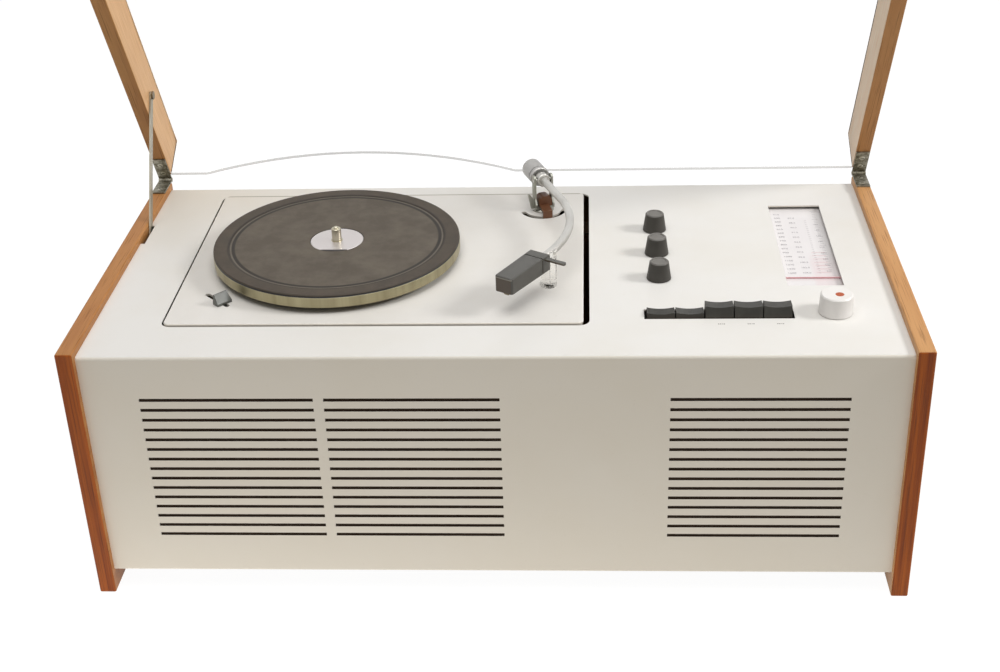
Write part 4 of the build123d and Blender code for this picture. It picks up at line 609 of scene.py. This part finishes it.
# ---------------------------------------------------------------- deck, platter and drive
# The deck is a pressed steel plate in the same white enamel, on four rubber buffers. A turned
# alloy platter under a grooved rubber mat runs on a steel spindle, driven by an idler wheel.
deck_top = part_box("deck_plate")[1][2]
dress(["deck_plate"], enamel("deck_enamel", paint(239, 236, 231), paint(229, 224, 215), 0.36,
                             deck_top - 0.0008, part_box("deck_plate")[1][1]))
dress(["deck_buffers"], plastic("buffer_rubber", paint(38, 36, 34), paint(48, 45, 42), 0.75))
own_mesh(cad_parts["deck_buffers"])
dress(["platter_bearing", "arm_bearing"],
      metal("bearing_steel", paint(178, 176, 170), paint(150, 147, 140), 0.3))

centre_low, centre_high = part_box("platter")
centre = (centre_low + centre_high) / 2


def polar(finish, middle):
    """Distance from an upright axis, and the direction around it in radians."""
    point = finish.node("ShaderNodeMapping", {}, {
        "Vector": finish.node("ShaderNodeTexCoord", output="Object"),
        "Location": (-middle[0], -middle[1], 0)})
    x, y = finish.part(point, "X"), finish.part(point, "Y")
    away = finish.node("ShaderNodeMath", {"operation": "SQRT"}, {0: x * x + y * y})
    around = finish.node("ShaderNodeMath", {"operation": "ARCTAN2"}, {0: y, 1: x})
    return away, around


rim = Finish("platter_alloy")
away, around = polar(rim, centre)
turning = rim.noise(rim.node("ShaderNodeCombineXYZ", {}, {0: away * 2400, 1: 0.0, 2: rim.part(
    rim.place(), "Z") * 2400}), 1.0, 3.0, 0.6)
# painted reflections: streaks around the rim, as turned metal reflects the room
reflection_streaks = rim.noise(rim.node("ShaderNodeCombineXYZ", {}, {0: around * 9, 1: 0.0, 2: 0.0}), 1.0, 3.0, 0.6)
height = rim.part(rim.place(), "Z")
# painted shade: the lowest 1.2 mm of the rim, over the gap under the platter, and its top 0.7 mm by the
# mat are painted near black
shaded_bands = rim.spread((height < centre_low.z + 0.0012) + (height > centre_high.z - 0.0007), 0.0, 1.0)
dress(["platter"], rim.surface(
    Base_Color=rim.mix(shaded_bands, rim.mix(rim.spread(reflection_streaks, 0.35, 0.65), paint(172, 164, 134),
                                      paint(148, 140, 112)), paint(26, 24, 21)),
    Metallic=1 - shaded_bands, Roughness=0.3 + turning * 0.18, Normal=rim.bump(turning, 0.15, 0.0002)))

ribs = Finish("mat_rubber")
away, around = polar(ribs, centre)
dust = ribs.noise(ribs.place(), 60.0, 5.0, 0.65)
skin = ribs.noise(ribs.place(), 900.0, 2.0)
outer = ribs.spread(away, 0.0795, 0.0800)
# painted shade in the groove and at the step of the ring near 80 mm radius and on the mat's upright
# sides, with a painted highlight along the ridge between them
inner_groove_shade = ribs.spread(away, 0.0754, 0.0764) * (1 - ribs.spread(away, 0.0780, 0.0788))
outer_step_shade = ribs.spread(away, 0.0796, 0.0800) * (1 - ribs.spread(away, 0.0808, 0.0820)) * 0.8
side_shade = abs(ribs.part(ribs.node("ShaderNodeTexCoord", output="Normal"), "Z")) < 0.6
ridge_highlight = ribs.spread(away, 0.0779, 0.0785) * (1 - ribs.spread(away, 0.0790, 0.0794)) * 0.2
worn_in = ribs.mix(ribs.spread(dust, 0.38, 0.68), paint(78, 70, 60), paint(100, 92, 81))
band = ribs.mix(ribs.spread(dust, 0.38, 0.68), paint(62, 54, 45), paint(78, 69, 59))
rubber = ribs.mix(ridge_highlight, ribs.mix(outer, worn_in, band), paint(150, 143, 132))
dress(["platter_mat"], ribs.surface(
    Base_Color=ribs.mix(ribs.spread(inner_groove_shade + outer_step_shade + side_shade, 0.0, 1.0), rubber,
                        paint(32, 27, 21)),
    Roughness=0.58 + dust * 0.2, Specular_IOR_Level=0.4, Normal=ribs.bump(skin, 0.12, 0.0003)))

spun = Finish("disc_aluminium")
away, around = polar(spun, centre)
rings = spun.noise(spun.node("ShaderNodeCombineXYZ", {}, {0: away * 3000, 1: 0.0, 2: 0.0}), 1.0, 2.0)
dress(["centre_disc"], spun.surface(
    Base_Color=spun.mix(rings, paint(214, 208, 207), paint(200, 194, 192)), Metallic=0.7,
    Roughness=0.32 + rings * 0.12, Normal=spun.bump(rings, 0.1, 0.0001)))
dress(["spindle"], metal("spindle_steel", paint(196, 190, 172), paint(170, 163, 142), 0.22))
dress(["motor"], metal("motor_plate", paint(150, 148, 138), paint(120, 116, 104), 0.45))
dress(["motor_pulley"], metal("pulley_brass", paint(206, 170, 92), paint(182, 146, 74), 0.25))
dress(["idler_wheel"], plastic("tyre_rubber", paint(40, 38, 37), paint(52, 49, 46), 0.65))
dress(["idler_bracket"], metal("bracket_steel", paint(172, 170, 162), paint(146, 142, 132), 0.36))
dress(["speed_lever"], plastic("lever_grey", paint(102, 104, 98), paint(86, 87, 80), 0.26))

# ---------------------------------------------------------------- tone arm
# A bent aluminium tube with a satin skin, pivoting in a steel fork on a brown moulded block,
# with a grey weight behind and a dark head in front that holds the cartridge.
dress(["arm_fork"], metal("fork_zinc", paint(176, 176, 168), paint(146, 146, 134), 0.34))
dress(["arm_block"], plastic("block_brown", paint(118, 76, 48), paint(98, 60, 38), 0.4))
dress(["arm_tube"], metal("arm_satin", paint(204, 202, 197), paint(188, 186, 181), 0.32))
dress(["counterweight"], metal("weight_satin", paint(178, 176, 174), paint(164, 162, 158), 0.36))
head_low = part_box("head_shell")[0]
ahead = Vector((-0.52, -0.855, 0.0))
head_front = max(vertex.co.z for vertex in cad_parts["head_shell"].data.vertices
                 if vertex.co.y < head_low.y + 0.004)
head = Finish("head_grey")
point = head.place()
facing = head.node("ShaderNodeVectorMath", {"operation": "DOT_PRODUCT"}, {
    0: head.node("ShaderNodeTexCoord", output="Normal"), 1: ahead}, output="Value")
skin, cloud = head.noise(point, 1600.0, 2.0), head.noise(point, 60.0, 3.0)
height = head.part(point, "Z")
window = (facing > 0.9) * (height < head_front - 0.0016)
lip = (facing > 0.6) * (height > head_front - 0.0016) * (height < head_front - 0.0008)
shell_tone = head.mix(head.spread(cloud, 0.35, 0.7) * 0.7, paint(72, 70, 64), paint(60, 58, 52))
shell_tone = head.mix(window, shell_tone, paint(84, 72, 60))
dress(["head_shell"], head.surface(
    Base_Color=head.mix(lip, shell_tone, paint(140, 136, 126)), Specular_IOR_Level=0.6,
    Roughness=0.3 - window * 0.12 + cloud * 0.1, Normal=head.bump(skin, 0.08, 0.0002)))
dress(["cartridge"], plastic("cartridge_black", paint(44, 42, 40), paint(56, 53, 49), 0.35))
# a small amber guard under the head, kept above the mat where the arm swings in
guard_depth, head_turn = 0.0029, radians(31.3)
bm = bmesh.new()
bmesh.ops.create_cone(bm, cap_ends=True, segments=4, radius1=0.0022, radius2=0.0054,
                      depth=guard_depth, matrix=Matrix.Rotation(radians(45), 4, "Z"))
bmesh.ops.scale(bm, verts=bm.verts[:], vec=(1.0, 0.45, 1.0))
bmesh.ops.bevel(bm, geom=bm.edges[:], offset=0.0003, offset_type="OFFSET", segments=2, profile=0.5,
                affect="EDGES", material=-1)
bmesh.ops.transform(bm, verts=bm.verts[:],
                    matrix=Matrix.Translation((0.0100, -0.0990, head_low.z - 0.0012))
                    @ Matrix.Rotation(-head_turn, 4, "Z"))
piece_from(bm, "stylus_guard",
           plastic("guard_amber", paint(132, 116, 78), paint(104, 90, 58), 0.2), "arm")

# ---------------------------------------------------------------- hinges, stay and clear lid
# Steel hinges with rolled knuckles, a flat steel stay, and a bent acrylic cover screwed
# between the lid's wooden sides.
plate = Finish("hinge_plate")
point = plate.place()
patch = plate.noise(point, 340.0, 4.0, 0.65)
tarnish = plate.noise(point, 90.0, 3.0)
shade = plate.mix(plate.spread(patch, 0.38, 0.62), paint(98, 92, 74), paint(168, 164, 150))
shade = plate.mix(plate.spread(tarnish, 0.4, 0.7) * 0.5, shade, paint(110, 102, 82))
dress(["hinge_leaves_body", "hinge_leaves_lid"], plate.surface(
    Base_Color=shade, Metallic=0.85, Roughness=0.34 + patch * 0.2,
    Normal=plate.bump(patch, 0.25, 0.0002)))
dress(["lid_stay"], metal("stay_steel", paint(176, 170, 156), paint(150, 142, 124), 0.36, (60, 900, 60)))
dress(["lid_pins"], metal("pin_steel", paint(132, 116, 90), paint(104, 90, 66), 0.3))

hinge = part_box("hinge_leaves_body")[1] - Vector((0, 0.0021, 0.0021))
lid_up = Vector((0, sin(lid_turn), cos(lid_turn)))
lid_back = Vector((0, cos(lid_turn), -sin(lid_turn)))


def round_head(bm, middle, facing, radius, height):
    """A low round screw head that faces a direction."""
    turn = Vector(facing).to_track_quat("Z", "Y").to_matrix().to_4x4()
    bmesh.ops.create_cone(bm, cap_ends=True, segments=24, radius1=radius, radius2=radius * 0.86,
                          depth=height,
                          matrix=Matrix.Translation(Vector(middle) + Vector(facing) * height / 2) @ turn)


def slot_cut(bm, middle, facing, turn, length, width):
    """A thin dark bar across a head, painted shade for its slot, turned about the screw."""
    frame_turn = Vector(facing).to_track_quat("Z", "Y").to_matrix().to_4x4()
    bmesh.ops.create_cube(bm, size=1.0, matrix=Matrix.Translation(middle) @ frame_turn @ Matrix.Rotation(
        turn, 4, "Z") @ Matrix.Diagonal((length, width, 0.00006, 1.0)))


screw_radius, screw_height = 0.0022, 0.00016
for body, facing, across in (("case", Vector((0, 0, 1)), Vector((0, -1, 0))),
                             ("lid", -lid_up, -lid_back)):
    heads, cuts = bmesh.new(), bmesh.new()
    for side in (-0.286, 0.286):
        for number, along in enumerate((0.0085, 0.0190)):
            seat = Vector((side, hinge.y, hinge.z)) - facing * 0.0002 + across * along
            round_head(heads, seat, facing, screw_radius, screw_height)
            slot_cut(cuts, seat + facing * screw_height, facing, 0.7 + 1.9 * number + side,
                     0.0038, 0.0006)
    piece_from(heads, body + "_hinge_screws", metal(body + "_hinge_screws", paint(206, 203, 190),
                                                    paint(166, 160, 140), 0.3), body)
    piece_from(cuts, body + "_hinge_slots", plastic(body + "_hinge_slots", paint(34, 31, 25),
                                                    paint(48, 43, 34), 0.7), body)


def clear_plastic(name, tint, haze_strength, bend, edge=None):
    """Clear moulding that lets lamps through as well as sight; its sawn edges may be frosted."""
    sheet = Finish(name)
    scuffs = sheet.noise(sheet.place(), 120.0, 4.0, 0.6)
    body = sheet.node("ShaderNodeBsdfPrincipled", {}, {
        "Base Color": tint, "Transmission Weight": 1.0, "IOR": bend,
        "Roughness": sheet.spread(scuffs, 0.45, 0.75) * haze_strength})
    if edge:
        facing = sheet.node("ShaderNodeTexCoord", output="Normal")
        sideways = abs(sheet.part(facing, "X")) > 0.7
        point = sheet.node("ShaderNodeVectorMath", {"operation": "SUBTRACT"}, {
            0: sheet.place(), 1: (0, hinge.y, hinge.z)})
        rise, down = (sheet.node("ShaderNodeVectorMath", {"operation": "DOT_PRODUCT"}, {
            0: vector, 1: lid_up}, output="Value") for vector in (point, facing))
        sawn = sheet.spread(sideways + (down < -0.7) * (rise < 0.03), 0.0, 1.0)
        frost = sheet.node("ShaderNodeBsdfDiffuse", {}, {"Color": edge})
        body = sheet.node("ShaderNodeMixShader", {}, {0: sawn * 0.5, 1: body, 2: frost})
    through = sheet.node("ShaderNodeBsdfTransparent", {}, {"Color": (1, 1, 1, 1)})
    for rays in ("Is Diffuse Ray", "Is Shadow Ray"):
        body = sheet.node("ShaderNodeMixShader", {}, {
            0: sheet.node("ShaderNodeLightPath", output=rays), 1: body, 2: through})
    return sheet.close(body)


dress(["lid_window"], clear_plastic("lid_acrylic", (1, 1, 1, 1), 0.03, 1.12, paint(236, 235, 233)))
dress(["arm_rest"], clear_plastic("rest_acrylic", (0.98, 0.98, 0.97, 1), 0.1, 1.3))
